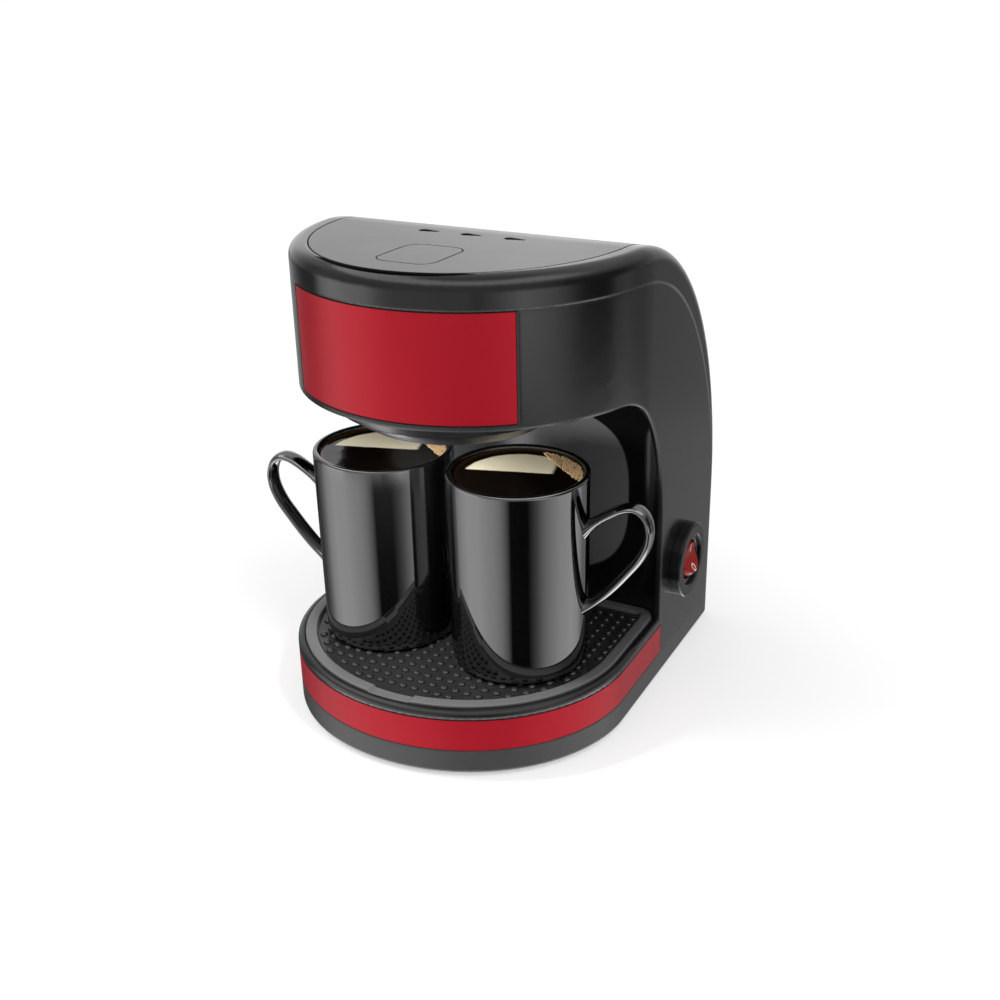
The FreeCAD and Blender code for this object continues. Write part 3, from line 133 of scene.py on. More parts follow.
def fill_all(tree, node, inputs):
    for socket, value in inputs.items():
        fill(tree, node.inputs[socket], value)


def new_node(tree, kind, inputs=None, **settings):
    """A node with its settings made and its inputs, by name or number, filled."""
    node = tree.nodes.new(kind)
    for title, value in settings.items():
        setattr(node, title, value)
    fill_all(tree, node, inputs or {})
    return node


def math_node(tree, operation, *values):
    return new_node(tree, "ShaderNodeMath", dict(enumerate(values)), operation=operation).outputs[0]


def add(tree, first, second):
    return math_node(tree, "ADD", first, second)


def subtract(tree, first, second):
    return math_node(tree, "SUBTRACT", first, second)


def multiply(tree, first, second):
    return math_node(tree, "MULTIPLY", first, second)


def divide(tree, first, second):
    return math_node(tree, "DIVIDE", first, second)


def split_vector(tree, vector):
    outputs = new_node(tree, "ShaderNodeSeparateXYZ", {0: vector}).outputs
    return outputs["X"], outputs["Y"], outputs["Z"]


def mix_value(tree, factor, first, second):
    """first where factor is 0, second where it is 1."""
    inputs = {"Factor": factor, "A": first, "B": second}
    return new_node(tree, "ShaderNodeMix", inputs, data_type="FLOAT").outputs["Result"]


def rise(tree, value, start, end):
    """0 below start, 1 above end, smooth between."""
    inputs = {"Value": value, "From Min": start, "From Max": end}
    node = new_node(tree, "ShaderNodeMapRange", inputs, interpolation_type="SMOOTHSTEP")
    return node.outputs["Result"]


print("helpers ready: new_node, math_node and its short forms, split_vector, mix_value, rise")

# %% Studio walls in the world
def belt(tree, share, walls):
    """One belt of wall from (yaw in degrees, brightness) pairs."""
    top = max(level for _, level in walls)
    node = new_node(tree, "ShaderNodeValToRGB", {0: share})
    stops = node.color_ramp.elements
    while len(stops) > 1:
        stops.remove(stops[-1])
    for index, (yaw, level) in enumerate(walls):
        place = (yaw + 180) / 360
        stop = stops[0] if index == 0 else stops.new(place)
        stop.position = place
        stop.color = (level / top, level / top, level / top, 1.0)
    return multiply(tree, node.outputs[0], top)


# Heights are the z of a ray's direction: 0 is level, 1 straight up. Each pair is where the change
# from one part of the wall to the next begins and ends.
NADIR_TO_LOW = (-0.80, -0.66)
LOW_TO_MIDDLE = (-0.352, -0.31)
MIDDLE_TO_HIGH = (-0.14, 0.0)
HIGH_TO_CEILING = (0.28, 0.55)
STRIP_BEGINS = (0.60, 0.65)
STRIP_ENDS = (0.90, 0.96)


def studio_world(low, middle, high, strip, ceiling, nadir):
    """Yaw 0 is the front, 90 the right side. The camera and clear glass see plain white."""
    world = bpy.data.worlds.new("studio")
    world.use_nodes = True
    tree = world.node_tree
    tree.nodes.clear()
    direction = tree.nodes.new("ShaderNodeTexCoord").outputs["Generated"]
    x, y, height = split_vector(tree, direction)
    yaw = math_node(tree, "ARCTAN2", x, multiply(tree, y, -1.0))
    share = add(tree, divide(tree, yaw, 2 * math.pi), 0.5)
    low_walls, middle_walls = belt(tree, share, low), belt(tree, share, middle)
    walls = mix_value(tree, rise(tree, height, *LOW_TO_MIDDLE), low_walls, middle_walls)
    walls = mix_value(tree, rise(tree, height, *NADIR_TO_LOW), nadir, walls)
    walls = mix_value(tree, rise(tree, height, *MIDDLE_TO_HIGH), walls, belt(tree, share, high))
    walls = mix_value(tree, rise(tree, height, *HIGH_TO_CEILING), walls, ceiling)
    above = subtract(tree, 1.0, rise(tree, height, *STRIP_ENDS))
    inside = multiply(tree, rise(tree, height, *STRIP_BEGINS), above)
    walls = add(tree, walls, multiply(tree, inside, belt(tree, share, strip)))
    ray = tree.nodes.new("ShaderNodeLightPath").outputs
    seen = math_node(tree, "MAXIMUM", ray["Is Camera Ray"], ray["Is Transmission Ray"])
    strength = mix_value(tree, seen, walls, 1.0)
    lit = new_node(tree, "ShaderNodeBackground", {"Color": (1, 1, 1, 1), "Strength": strength})
    new_node(tree, "ShaderNodeOutputWorld", {"Surface": lit.outputs[0]})
    bpy.context.scene.world = world


LOW_BELT = (
    (-180, 0.4), (-130, 0.08), (-108, 0.10), (-93, 0.35), (-78, 0.95), (-61, 1.35), (-40, 1.4),
    (-24, 1.2), (-12, 1.05), (-2, 0.8), (7, 0.4), (14, 0.01), (41, 0.01), (47, 0.10), (56, 0.28),
    (66, 0.6), (74, 0.8), (96, 1.2), (121, 1.3), (137, 1.0), (150, 0.4), (165, 0.35), (180, 0.4))
MIDDLE_BELT = (
    (-180, 0.8), (-126, 0.4), (-104, 0.1), (-86, 0.1), (-79, 1.2), (-68, 2.0), (-41, 2.0),
    (-30, 0.9), (-20, 0.7), (11, 0.65), (25, 0.7), (30, 0.4), (38, 0.7), (49, 1.25), (58, 1.8),
    (66, 1.5), (75, 1.2), (84, 0.7), (92, 0.2), (99, 0.01), (115, 0.01), (119, 0.35), (127, 0.45),
    (138, 0.25), (155, 0.22), (165, 0.28), (180, 0.8))
HIGH_BELT = (
    (-180, 0.85), (-165, 1.00), (-155, 1.38), (-145, 1.05), (-130, 1.1), (-110, 0.5), (-90, 0.2),
    (-75, 0.45), (0, 0.5), (70, 0.45), (85, 0.1), (120, 0.05), (140, 0.3), (165, 0.6), (180, 0.85))
STRIP = ((-180, 0.2), (-120, 0.3), (-100, 1.7), (100, 1.7), (125, 0.3), (180, 0.2))
studio_world(LOW_BELT, MIDDLE_BELT, HIGH_BELT, STRIP, ceiling=0.6, nadir=3.5)
print("studio belts:", len(LOW_BELT), len(MIDDLE_BELT), len(HIGH_BELT), "stops")

# %% [markdown]
# The head keeps daylight out of the bay below it. A careful studio would hide a small strip lamp
# under the head's front edge. It lights the drink, the rear wall and the tray, and stays unseen.

# %% Bay lamp
def strip_lamp(name, place, target, size, watts):
    data = bpy.data.lights.new(name, "AREA")
    data.shape = "RECTANGLE"
    data.size, data.size_y = size
    data.energy = watts
    lamp = placed(name, data)
    aim(lamp, place, Vector(target) - Vector(place), "X")
    lamp.visible_camera = False
    lamp.visible_glossy = False


strip_lamp("bay_lamp", place=(0.0, -0.084, 0.162), target=(0.0, -0.01, 0.118), size=(0.11, 0.012),
           watts=0.50)
print("bay lamp hidden under the head's front edge")

# %% [markdown]
# ## Floor
# The floor is a white sheet that keeps the machine's soft contact shadow. Mirrors look through it,
# so that the underside of a glossy shape reflects the studio and not a bright sheet at its feet.

# %% Floor
def floor_plane(name, size):
    mesh = bpy.data.meshes.new(name)
    half = size / 2
    corners = [(-half, -half, 0.0), (half, -half, 0.0), (half, half, 0.0), (-half, half, 0.0)]
    mesh.from_pydata(corners, [], [(0, 1, 2, 3)])
    return placed(name, mesh)


def floor_finish(own_light):
    """White paint that takes shadows, part of it glowing for the camera, and clear to mirrors."""
    material = bpy.data.materials.new("pale_floor")
    material.use_nodes = True
    tree = material.node_tree
    tree.nodes.clear()
    ray = tree.nodes.new("ShaderNodeLightPath").outputs
    paint = new_node(tree, "ShaderNodeBsdfDiffuse", {"Color": (1, 1, 1, 1)}).outputs[0]
    glow = new_node(tree, "ShaderNodeEmission", {"Color": (1, 1, 1, 1)}).outputs[0]
    clear = new_node(tree, "ShaderNodeBsdfTransparent").outputs[0]
    share = multiply(tree, ray["Is Camera Ray"], own_light)
    half = new_node(tree, "ShaderNodeMixShader", {0: share, 1: paint, 2: glow}).outputs[0]
    through = new_node(tree, "ShaderNodeMixShader", {0: ray["Is Glossy Ray"], 1: half, 2: clear})
    new_node(tree, "ShaderNodeOutputMaterial", {"Surface": through.outputs[0]})
    return material


floor = floor_plane("floor", 8.0)
floor.data.materials.append(floor_finish(own_light=0.5))
print("floor laid at z = 0")

# %% [markdown]
# ## Finishes
# Moulded plastic is never quite even: the mould's fine texture scatters light and the surface
# waves a little. Each finish here starts from the same recipe, a base colour that drifts slightly,
# a roughness that drifts too, and two scales of bump. A bevel node rounds the light along sharp
# edges, because every moulded edge has a small radius that catches a bright line.

# %% A recipe for moulded and painted surfaces
def new_finish(name):
    material = bpy.data.materials.new(name)
    material.use_nodes = True
    tree = material.node_tree
    return material, tree, tree.nodes["Principled BSDF"]


def object_place(tree):
    return tree.nodes.new("ShaderNodeTexCoord").outputs["Object"]


def noise(tree, scale, detail):
    inputs = {"Scale": scale, "Detail": detail, "Vector": object_place(tree)}
    return new_node(tree, "ShaderNodeTexNoise", inputs).outputs["Fac"]


def mix_colour(tree, factor, first, second):
    tones = [tone if hasattr(tone, "is_linked") else (*tone, 1) for tone in (first, second)]
    inputs = {"Factor": factor, "A": tones[0], "B": tones[1]}
    return new_node(tree, "ShaderNodeMix", inputs, data_type="RGBA").outputs["Result"]


def spread(tree, factor, low, high):
    inputs = {"Value": factor, "To Min": low, "To Max": high}
    return new_node(tree, "ShaderNodeMapRange", inputs).outputs["Result"]


def soft_edge(tree, radius):
    return new_node(tree, "ShaderNodeBevel", {"Radius": radius}, samples=4).outputs["Normal"]


def bump(tree, height, distance, below=None):
    inputs = {"Distance": distance, "Strength": 1.0, "Height": height}
    if below is not None:
        inputs["Normal"] = below
    return new_node(tree, "ShaderNodeBump", inputs).outputs["Normal"]


COLOUR_DRIFT, ROUGH_DRIFT = 14, 40


def drift(tree, dark, light):
    """A colour that wanders slowly between a dark and a light tone."""
    return mix_colour(tree, noise(tree, COLOUR_DRIFT, 3), dark, light)


def moulded(name, dark, light, rough, grain=(900, 0.00002), wave=(18, 0.00012), coat=0.0,
            coat_rough=0.05, ior=1.5, metallic=0.0, level=0.5, edge=0.0007):
    """Colour and roughness drift between two values; grain and wave are bumps, (scale, depth)."""
    material, tree, shader = new_finish(name)
    rounded = soft_edge(tree, edge) if edge else None
    slow = bump(tree, noise(tree, wave[0], 1), wave[1], below=rounded)
    fill_all(tree, shader, {
        "Base Color": drift(tree, dark, light),
        "Roughness": spread(tree, noise(tree, ROUGH_DRIFT, 3), *rough),
        "Normal": bump(tree, noise(tree, grain[0], 2), grain[1], below=slow), "IOR": ior,
        "Metallic": metallic, "Specular IOR Level": level, "Coat Weight": coat,
        "Coat Roughness": coat_rough})
    return material


def recolour(material, mask, dark, light, rough):
    """Let a second colour and roughness show where the mask is 1."""
    tree = material.node_tree
    shader = tree.nodes["Principled BSDF"]
    colour, roughness = shader.inputs["Base Color"], shader.inputs["Roughness"]
    second = drift(tree, dark, light)
    link(tree, mix_colour(tree, mask, colour.links[0].from_socket, second), colour)
    link(tree, mix_value(tree, mask, roughness.links[0].from_socket, rough), roughness)


print("recipe ready: moulded(name, dark, light, rough, ...)")

# %% The machine's finishes
FINISHES = {
    "charcoal": moulded("charcoal_satin", (0.0050, 0.0050, 0.0055), (0.0068, 0.0068, 0.0073),
                        (0.16, 0.21), edge=0.0022),
    "gloss": moulded("black_gloss", (0.0050, 0.0050, 0.0055), (0.0065, 0.0065, 0.007), (0.13, 0.17),
                     edge=0.0015),
    "lid": moulded("lid_satin", (0.012, 0.012, 0.0125), (0.015, 0.015, 0.0155), (0.22, 0.27),
                   wave=(12, 0.00005), edge=0.0010),
    "base": moulded("base_grain", (0.030, 0.031, 0.032), (0.037, 0.038, 0.039), (0.30, 0.38),
                    grain=(1400, 0.00006), edge=0.0012),
    "red": moulded("red_lacquer", (0.38, 0.004, 0.014), (0.42, 0.005, 0.017), (0.32, 0.38),
                   metallic=0.3, coat=0.04, coat_rough=0.2, level=0.2),
    "rubber": moulded("foot_rubber", (0.008, 0.008, 0.008), (0.012, 0.012, 0.012), (0.6, 0.7)),
    "steel": moulded("plated_steel", (0.55, 0.55, 0.55), (0.62, 0.62, 0.62), (0.25, 0.32),
                     metallic=1.0, edge=0.0003),
    "tray": moulded("tray_gloss", (0.012, 0.012, 0.0125), (0.017, 0.017, 0.0175), (0.14, 0.19),
                    edge=0),
    "glaze": moulded("black_glaze", (0.001, 0.001, 0.0011), (0.0016, 0.0016, 0.0017), (0.02, 0.04),
                     grain=(300, 0.000002), wave=(25, 0.00003), ior=2.3, edge=0),
    "tank": moulded("smoke_tank", (0.20, 0.21, 0.22), (0.24, 0.25, 0.26), (0.12, 0.2)),
    "silicone": moulded("silicone_hose", (0.6, 0.6, 0.57), (0.66, 0.66, 0.63), (0.5, 0.6)),
    "aluminium": moulded("heater_aluminium", (0.7, 0.7, 0.71), (0.76, 0.76, 0.77), (0.35, 0.5),
                         metallic=1.0),
    "lens": moulded("red_lens", (0.22, 0.006, 0.005), (0.30, 0.010, 0.007), (0.22, 0.28),
                    ior=1.18, edge=0.0006),
    "funnel": moulded("funnel_satin", (0.010, 0.010, 0.011), (0.013, 0.013, 0.014), (0.22, 0.30),
                      ior=1.4, edge=0.0012),
    "surround": moulded("surround_gloss", (0.006, 0.006, 0.006), (0.008, 0.008, 0.008),
                        (0.12, 0.16), ior=1.28, edge=0.0009),
    # Matt black for the painted shadow in the lid's gap.
    "dark": moulded("gap_shadow_black", (0.001, 0.001, 0.001), (0.0016, 0.0016, 0.0016), (0.85, 0.95),
                    level=0.05, edge=0),
}
print("finishes:", ", ".join(FINISHES))

# %% Give each measured node its finish
NODES_BY_FINISH = {
    "charcoal": ("main_body", "filter_basket", "filter_handle"),
    "gloss": ("outer_shell", "switch_module"), "lid": ("lid", "lid_pad"), "base": ("bottom_cover",),
    "red": ("red_base_band", "red_head_panel"),
    "rubber": ("rubber_feet", "cord_gland"), "tray": ("drip_tray",), "funnel": ("brew_funnel",),
    "steel": ("bottom_screws", "hinge_pins", "hose_clamps", "mesh_filter", "thermostat"),
    "tank": ("water_tank", "riser_tube"), "silicone": ("cold_hose", "hot_hose", "thermal_fuse"),
    "aluminium": ("heater_tube",), "surround": ("switch_surround",), "lens": ("rocker",),
    "glaze": ("mug_left", "mug_right"),
}
for finish, names in NODES_BY_FINISH.items():
    for name in names:
        NODES[name].data.materials.clear()
        NODES[name].data.materials.append(FINISHES[finish])
print("nodes dressed:", sum(len(names) for names in NODES_BY_FINISH.values()), "of", len(NODES))

# %% [markdown]
# Three surfaces change within one part. The bay's rear wall carries a painted reflection: a paler
# satin field with rounded corners. The red parts sit in shallow grooves, with a painted shadow
# line along their edges. The tray's lip is paler, a painted reflection, and rougher than its glossy
# plate. All are masks in object coordinates, so they stay on the surface from every side.

# %% Painted reflection on the bay's rear wall
FIELD_HALF_WIDTH, FIELD_HALF_HEIGHT, FIELD_MIDDLE_Z = 64 * MM, 49 * MM, 95 * MM
FIELD_CORNER_POWER = 3.0
BAY_WALL_FRONT, BAY_WALL_BACK = 33 * MM, 38.5 * MM
# Pale colours of the painted reflection on the bay's black wall.
BAY_REFLECTION_DARK, BAY_REFLECTION_LIGHT = (0.135, 0.135, 0.137), (0.150, 0.150, 0.152)


def share_of_field(tree, distance, half):
    """Distance from the middle over the half size, to a power that makes the corners round."""
    share = math_node(tree, "ABSOLUTE", divide(tree, distance, half))
    return math_node(tree, "POWER", share, FIELD_CORNER_POWER)


def bay_painted_reflection(material):
    tree = material.node_tree
    x, y, z = split_vector(tree, object_place(tree))
    across = share_of_field(tree, x, FIELD_HALF_WIDTH)
    upward = share_of_field(tree, subtract(tree, z, FIELD_MIDDLE_Z), FIELD_HALF_HEIGHT)
    within = subtract(tree, 1.0, rise(tree, add(tree, across, upward), 0.97, 1.03))
    behind = math_node(tree, "GREATER_THAN", y, BAY_WALL_FRONT)
    before = math_node(tree, "LESS_THAN", y, BAY_WALL_BACK)
    return multiply(tree, within, multiply(tree, behind, before))


recolour(FINISHES["charcoal"], bay_painted_reflection(FINISHES["charcoal"]), BAY_REFLECTION_DARK, BAY_REFLECTION_LIGHT, rough=0.35)
print("rear field of the bay coloured")

# %% Shadow lines round the red parts
LINE_HALF_WIDTH = 0.45 * MM
LINE_DARK, LINE_LIGHT = (0.03, 0.002, 0.003), (0.04, 0.002, 0.004)


def near_levels(material, levels, half_width):
    """1 within half a line's width of any of the given heights."""
    tree = material.node_tree
    _, _, z = split_vector(tree, object_place(tree))
    lines = 0.0
    for level in levels:
        away = math_node(tree, "ABSOLUTE", subtract(tree, z, level))
        lines = math_node(tree, "MAXIMUM", lines, math_node(tree, "LESS_THAN", away, half_width))
    return lines


red_levels = [corner.z for node in ("red_base_band", "red_head_panel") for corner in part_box(node)]
shadow_lines = near_levels(FINISHES["red"], red_levels, LINE_HALF_WIDTH)
recolour(FINISHES["red"], shadow_lines, LINE_DARK, LINE_LIGHT, rough=0.7)
print("shadow lines at z (mm):", [round(level / MM, 1) for level in red_levels])

# %% Satin lip of the tray, with a painted reflection
# The tray's D is a straight-sided rear with half an ellipse in front of it. The ellipse starts at
# ARC_Y and is TRAY_DEPTH deep, which leaves the base's rim in front of the tray.
BASE_REACH, BASE_RIM = 106.5 * MM, 3.9 * MM
ARC_Y = -26.0 * MM
TRAY_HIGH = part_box("drip_tray")[1]
TRAY_HALF = TRAY_HIGH.x
TRAY_DEPTH = ARC_Y + BASE_REACH - BASE_RIM
TRAY_REAR = TRAY_HIGH.y
SATIN_WIDTH = 6.2 * MM
# Pale colours of the lip: a painted reflection on the black tray; its roughness is real satin.
LIP_REFLECTION_DARK, LIP_REFLECTION_LIGHT = (0.085, 0.085, 0.087), (0.100, 0.100, 0.102)


def d_reach(tree, x, y, half, depth, arc_y):
    """Below 1 inside a D, above 1 outside its sides and nose; the rear is left open."""
    across = divide(tree, x, half)
    ahead = divide(tree, math_node(tree, "MINIMUM", subtract(tree, y, arc_y), 0.0), depth)
    return add(tree, multiply(tree, across, across), multiply(tree, ahead, ahead))


def outside_plate(material, inset):
    """1 outside the tray's D drawn in by an inset, 0 on the plate."""
    tree = material.node_tree
    x, y, _ = split_vector(tree, object_place(tree))
    reach = d_reach(tree, x, y, TRAY_HALF - inset, TRAY_DEPTH - inset, ARC_Y)
    rear, soft = TRAY_REAR - inset, 0.2 * MM
    behind = rise(tree, y, rear - soft, rear + soft)
    return math_node(tree, "MAXIMUM", rise(tree, reach, 0.990, 1.0), behind)


lip_painted_reflection = outside_plate(FINISHES["tray"], SATIN_WIDTH)
recolour(FINISHES["tray"], lip_painted_reflection, LIP_REFLECTION_DARK, LIP_REFLECTION_LIGHT, rough=0.28)
print("satin lip outside a D of half width (mm):", round((TRAY_HALF - SATIN_WIDTH) / MM, 1))

# %% [markdown]
# ## Making solid pieces
# Three ways of making a mesh are enough here. A lathe turns an outline about an upright axis, as a
# potter's wheel does. A strap carries a section along a bent spine. Rings join outlines that have
# the same number of points, which suits anything with the tray's D shape.

# %% Mesh helpers
def riding(name, mesh, finish, body, sharp):
    """A piece that shows a mesh in one finish, smooth but for sharp edges, and rides on a body."""
    mesh.materials.clear()
    mesh.materials.append(finish)
    mesh.polygons.foreach_set("material_index", [0] * len(mesh.polygons))
    mesh.polygons.foreach_set("use_smooth", [True] * len(mesh.polygons))
    mesh.set_sharp_from_angle(angle=math.radians(sharp))
    piece = placed(name, mesh)
    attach(piece, body)
    return piece


def piece_from(name, points, faces, finish, body, sharp=40):
    """A riding piece made from points and faces, with every face turned outward."""
    mesh = bpy.data.meshes.new(name)
    mesh.from_pydata(points, [], faces)
    edit = bmesh.new()
    edit.from_mesh(mesh)
    bmesh.ops.remove_doubles(edit, verts=edit.verts, dist=0.000001)
    bmesh.ops.recalc_face_normals(edit, faces=edit.faces)
    edit.to_mesh(mesh)
    edit.free()
    return riding(name, mesh, finish, body, sharp)


def bridge(low, high, count, closed=True):
    """Quads between two rings of points, given where each begins in the list."""
    return [(low + step, low + (step + 1) % count, high + (step + 1) % count, high + step)
            for step in range(count if closed else count - 1)]


def rings(count, ring_count):
    """Quads between closed rings that lie one after another from the start of the list."""
    starts = [ring * count for ring in range(ring_count)]
    return [face for low, high in zip(starts, starts[1:]) for face in bridge(low, high, count)]


def joined(*parts):
    """One list of points and one of faces from several (points, faces) pairs."""
    points, faces = [], []
    for part_points, part_faces in parts:
        faces += [tuple(len(points) + corner for corner in face) for face in part_faces]
        points += part_points
    return points, faces


def on_ellipse(centre, half_width, half_depth, angle):
    return centre[0] + half_width * math.cos(angle), centre[1] + half_depth * math.sin(angle)


def arc(centre, half_width, half_depth, start, end, steps):
    """Points (x, y) on an ellipse from one angle up to, but not including, another, in radians."""
    return [on_ellipse(centre, half_width, half_depth, start + (end - start) * step / steps)
            for step in range(steps)]


def softened(points, radii, steps):
    """A polyline whose inner corners become curves, each from a radius before to one after."""
    curve = [Vector(points[0])]
    for before, corner, after, radius in zip(points, points[1:], points[2:], radii):
        before, corner, after = Vector(before), Vector(corner), Vector(after)
        start = corner + (before - corner).normalized() * radius
        end = corner + (after - corner).normalized() * radius
        for step in range(steps + 1):
            share = step / steps
            curve.append(start.lerp(corner, share).lerp(corner.lerp(end, share), share))
    curve.append(Vector(points[-1]))
    return curve


def turned(outline, centre, steps=128):
    """Points and faces of a (radius, height) outline turned about an upright axis."""
    points = []
    for radius, height in outline:
        ring = arc(centre, radius, radius, 0, 2 * math.pi, steps)
        points += [(x, y, centre[2] + height) for x, y in ring]
    return points, rings(steps, len(outline))


print("mesh helpers ready: piece_from, bridge, rings, joined, on_ellipse, arc, softened, turned")

# %% [markdown]
# ## Mugs
# Each mug is thrown on a wheel and its handle pulled from a strap of clay. The glaze pools, so no
# edge stays sharp: the rim is a full round and the handle grows out of the wall with a small flare.
# The wall is a softened outline on the lathe. The handle is a strap whose spine is a smooth curve
# through a few points, wider and thicker at both roots.

# %% Mug sizes, read from the measured mugs
MUG_LOW, MUG_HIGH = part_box("mug_right")
MUG_X = 37.3 * MM
MUG_Y = -37.0 * MM
MUG_BASE = MUG_LOW.z
MUG_HEIGHT = MUG_HIGH.z - MUG_LOW.z
RIM_RADIUS, FOOT_RADIUS, MUG_WALL = 34.7 * MM, 34.0 * MM, 3.0 * MM
FLOOR_HEIGHT, HOLLOW_HEIGHT, HOLLOW_RADIUS = 5.0 * MM, 1.2 * MM, 27.5 * MM
HANDLE_ANGLE = {"left": 186.0, "right": 8.0}
SIDES = (("left", -1), ("right", 1))
print("mug height (mm):", round(MUG_HEIGHT / MM, 1))

# %% Mug wall
def mug_outline():
    """(radius, height) from the hollow under the foot, up the outside and down the inside."""
    inner_rim, inner_foot = RIM_RADIUS - MUG_WALL, FOOT_RADIUS - MUG_WALL
    corners_and_radii = (
        ((HOLLOW_RADIUS, HOLLOW_HEIGHT), 0.3 * MM), ((28.2 * MM, 0.0), 0.4 * MM),
        ((FOOT_RADIUS - 0.8 * MM, 0.0), 1.0 * MM), ((FOOT_RADIUS, 3.0 * MM), 1.6 * MM),
        ((RIM_RADIUS, MUG_HEIGHT), 1.45 * MM), ((inner_rim, MUG_HEIGHT), 1.45 * MM),
        ((inner_foot, FLOOR_HEIGHT), 4.0 * MM))
    corners, radii = zip(*corners_and_radii)
    corners = ((0.0, HOLLOW_HEIGHT), *corners, (0.0, FLOOR_HEIGHT))
    curve = softened([(radius, height, 0) for radius, height in corners], radii, steps=8)
    return [(max(point.x, 0.0), point.y) for point in curve]


print("points in the mug's outline:", len(mug_outline()))

# %% Mug handle
# The spine is given as (distance from the mug's axis, height above its foot) in millimetres. The
# strap flares over a small part of its length at each root.
SPINE = ((31.8, 70.5), (37.5, 75.2), (44.5, 80.3), (51.5, 84.3), (57.5, 85.2), (62.2, 82.0),
         (64.6, 75.5), (64.0, 68.0), (60.5, 60.0), (55.0, 52.3), (49.0, 44.6), (43.0, 37.8),
         (37.5, 32.9), (32.0, 29.8))
STRAP_HALF_WIDTH, WIDTH_FLARE = 4.8 * MM, 1.9 * MM
STRAP_HALF_DEPTH, DEPTH_FLARE = 2.1 * MM, 2.2 * MM
FLARE_SHARE = 0.13


def through(points, per_span=6):
    """A smooth curve through points, and the direction along it."""
    padded = [points[0] * 2 - points[1]] + points + [points[-1] * 2 - points[-2]]
    places = []
    for a, b, c, d in zip(padded, padded[1:], padded[2:], padded[3:]):
        for step in range(per_span):
            t = step / per_span
            places.append(0.5 * (2 * b + (c - a) * t + (2 * a - 5 * b + 4 * c - d) * t * t
                                 + (3 * b - a - 3 * c + d) * t ** 3))
    places.append(points[-1])
    befores, afters = [places[0]] + places[:-1], places[1:] + [places[-1]]
    return places, [(after - before).normalized() for before, after in zip(befores, afters)]


def handle_strap(centre, angle, around=28):
    """Points and faces of the handle on the side of a mug that an angle gives."""
    out = Vector((math.cos(angle), math.sin(angle), 0))
    side = Vector((-math.sin(angle), math.cos(angle), 0))
    spine = [out * (r * MM) + Vector((0, 0, h * MM)) for r, h in SPINE]
    places, along = through(spine)
    points = []
    for index, (place, ahead) in enumerate(zip(places, along)):
        end = min(index, len(places) - 1 - index) / len(places)
        flare = max(0.0, 1.0 - end / FLARE_SHARE) ** 2
        half_width = STRAP_HALF_WIDTH + WIDTH_FLARE * flare
        half_depth = STRAP_HALF_DEPTH + DEPTH_FLARE * flare
        across = ahead.cross(side)
        for wide, deep in arc((0, 0), half_width, half_depth, 0, 2 * math.pi, around):
            points.append(centre + place + side * wide + across * deep)
    ends = [tuple(range(around)), tuple(range(len(points) - around, len(points)))]
    return points, rings(around, len(places)) + ends


print("points along the handle's spine:", len(SPINE))

# %% Both mugs
def mug(name, body, direction, angle):
    centre = Vector((direction * MUG_X, MUG_Y, MUG_BASE))
    points, faces = joined(turned(mug_outline(), centre), handle_strap(centre, math.radians(angle)))
    piece = piece_from(name, points, faces, FINISHES["glaze"], body, sharp=60)
    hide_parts(body)
    return piece


for side, direction in SIDES:
    made = mug(f"{side}_mug", f"mug_{side}", direction, HANDLE_ANGLE[side])
    print(made.name, "faces:", len(made.data.polygons))

# %% [markdown]
# ## Coffee
# Fresh coffee is almost black and mirrors the room. A pale patch of painted reflection lies on its
# far part, with a straight near edge, and tan bubbles gather where the brew last fell. The drink is
# a thin turned disc that climbs the wall a little. Its colour comes from masks in object
# coordinates, centred on each mug by a mapping node.

# %% Coffee finish
# Distances are from the mug's axis. The painted reflection ends in front at a straight edge, turned
# a little, at one side, and short of the wall. Beside the wall the drink is thin, so a browner ring
# shows there.
REFLECTION_TURN = math.radians(16.5)
REFLECTION_EDGE, REFLECTION_SIDE, REFLECTION_RADIUS, RING_RADIUS = 3.0 * MM, 16.0 * MM, 26.0 * MM, 29.5 * MM
WAVER_SCALE, WAVER_REACH = 160, 1.2 * MM
REFLECTION_SCALE, SKIN_SCALE, SKIN_DEPTH = 55, 60, 0.2 * MM
DRINK_IOR = 1.34
DRINK_DARK, DRINK_EDGE = (0.003, 0.0015, 0.0008), (0.018, 0.008, 0.003)
# Pale tones of the painted reflection on the dark drink.
DRINK_REFLECTION_DARK, DRINK_REFLECTION_LIGHT = (0.78, 0.69, 0.48), (0.86, 0.78, 0.58)


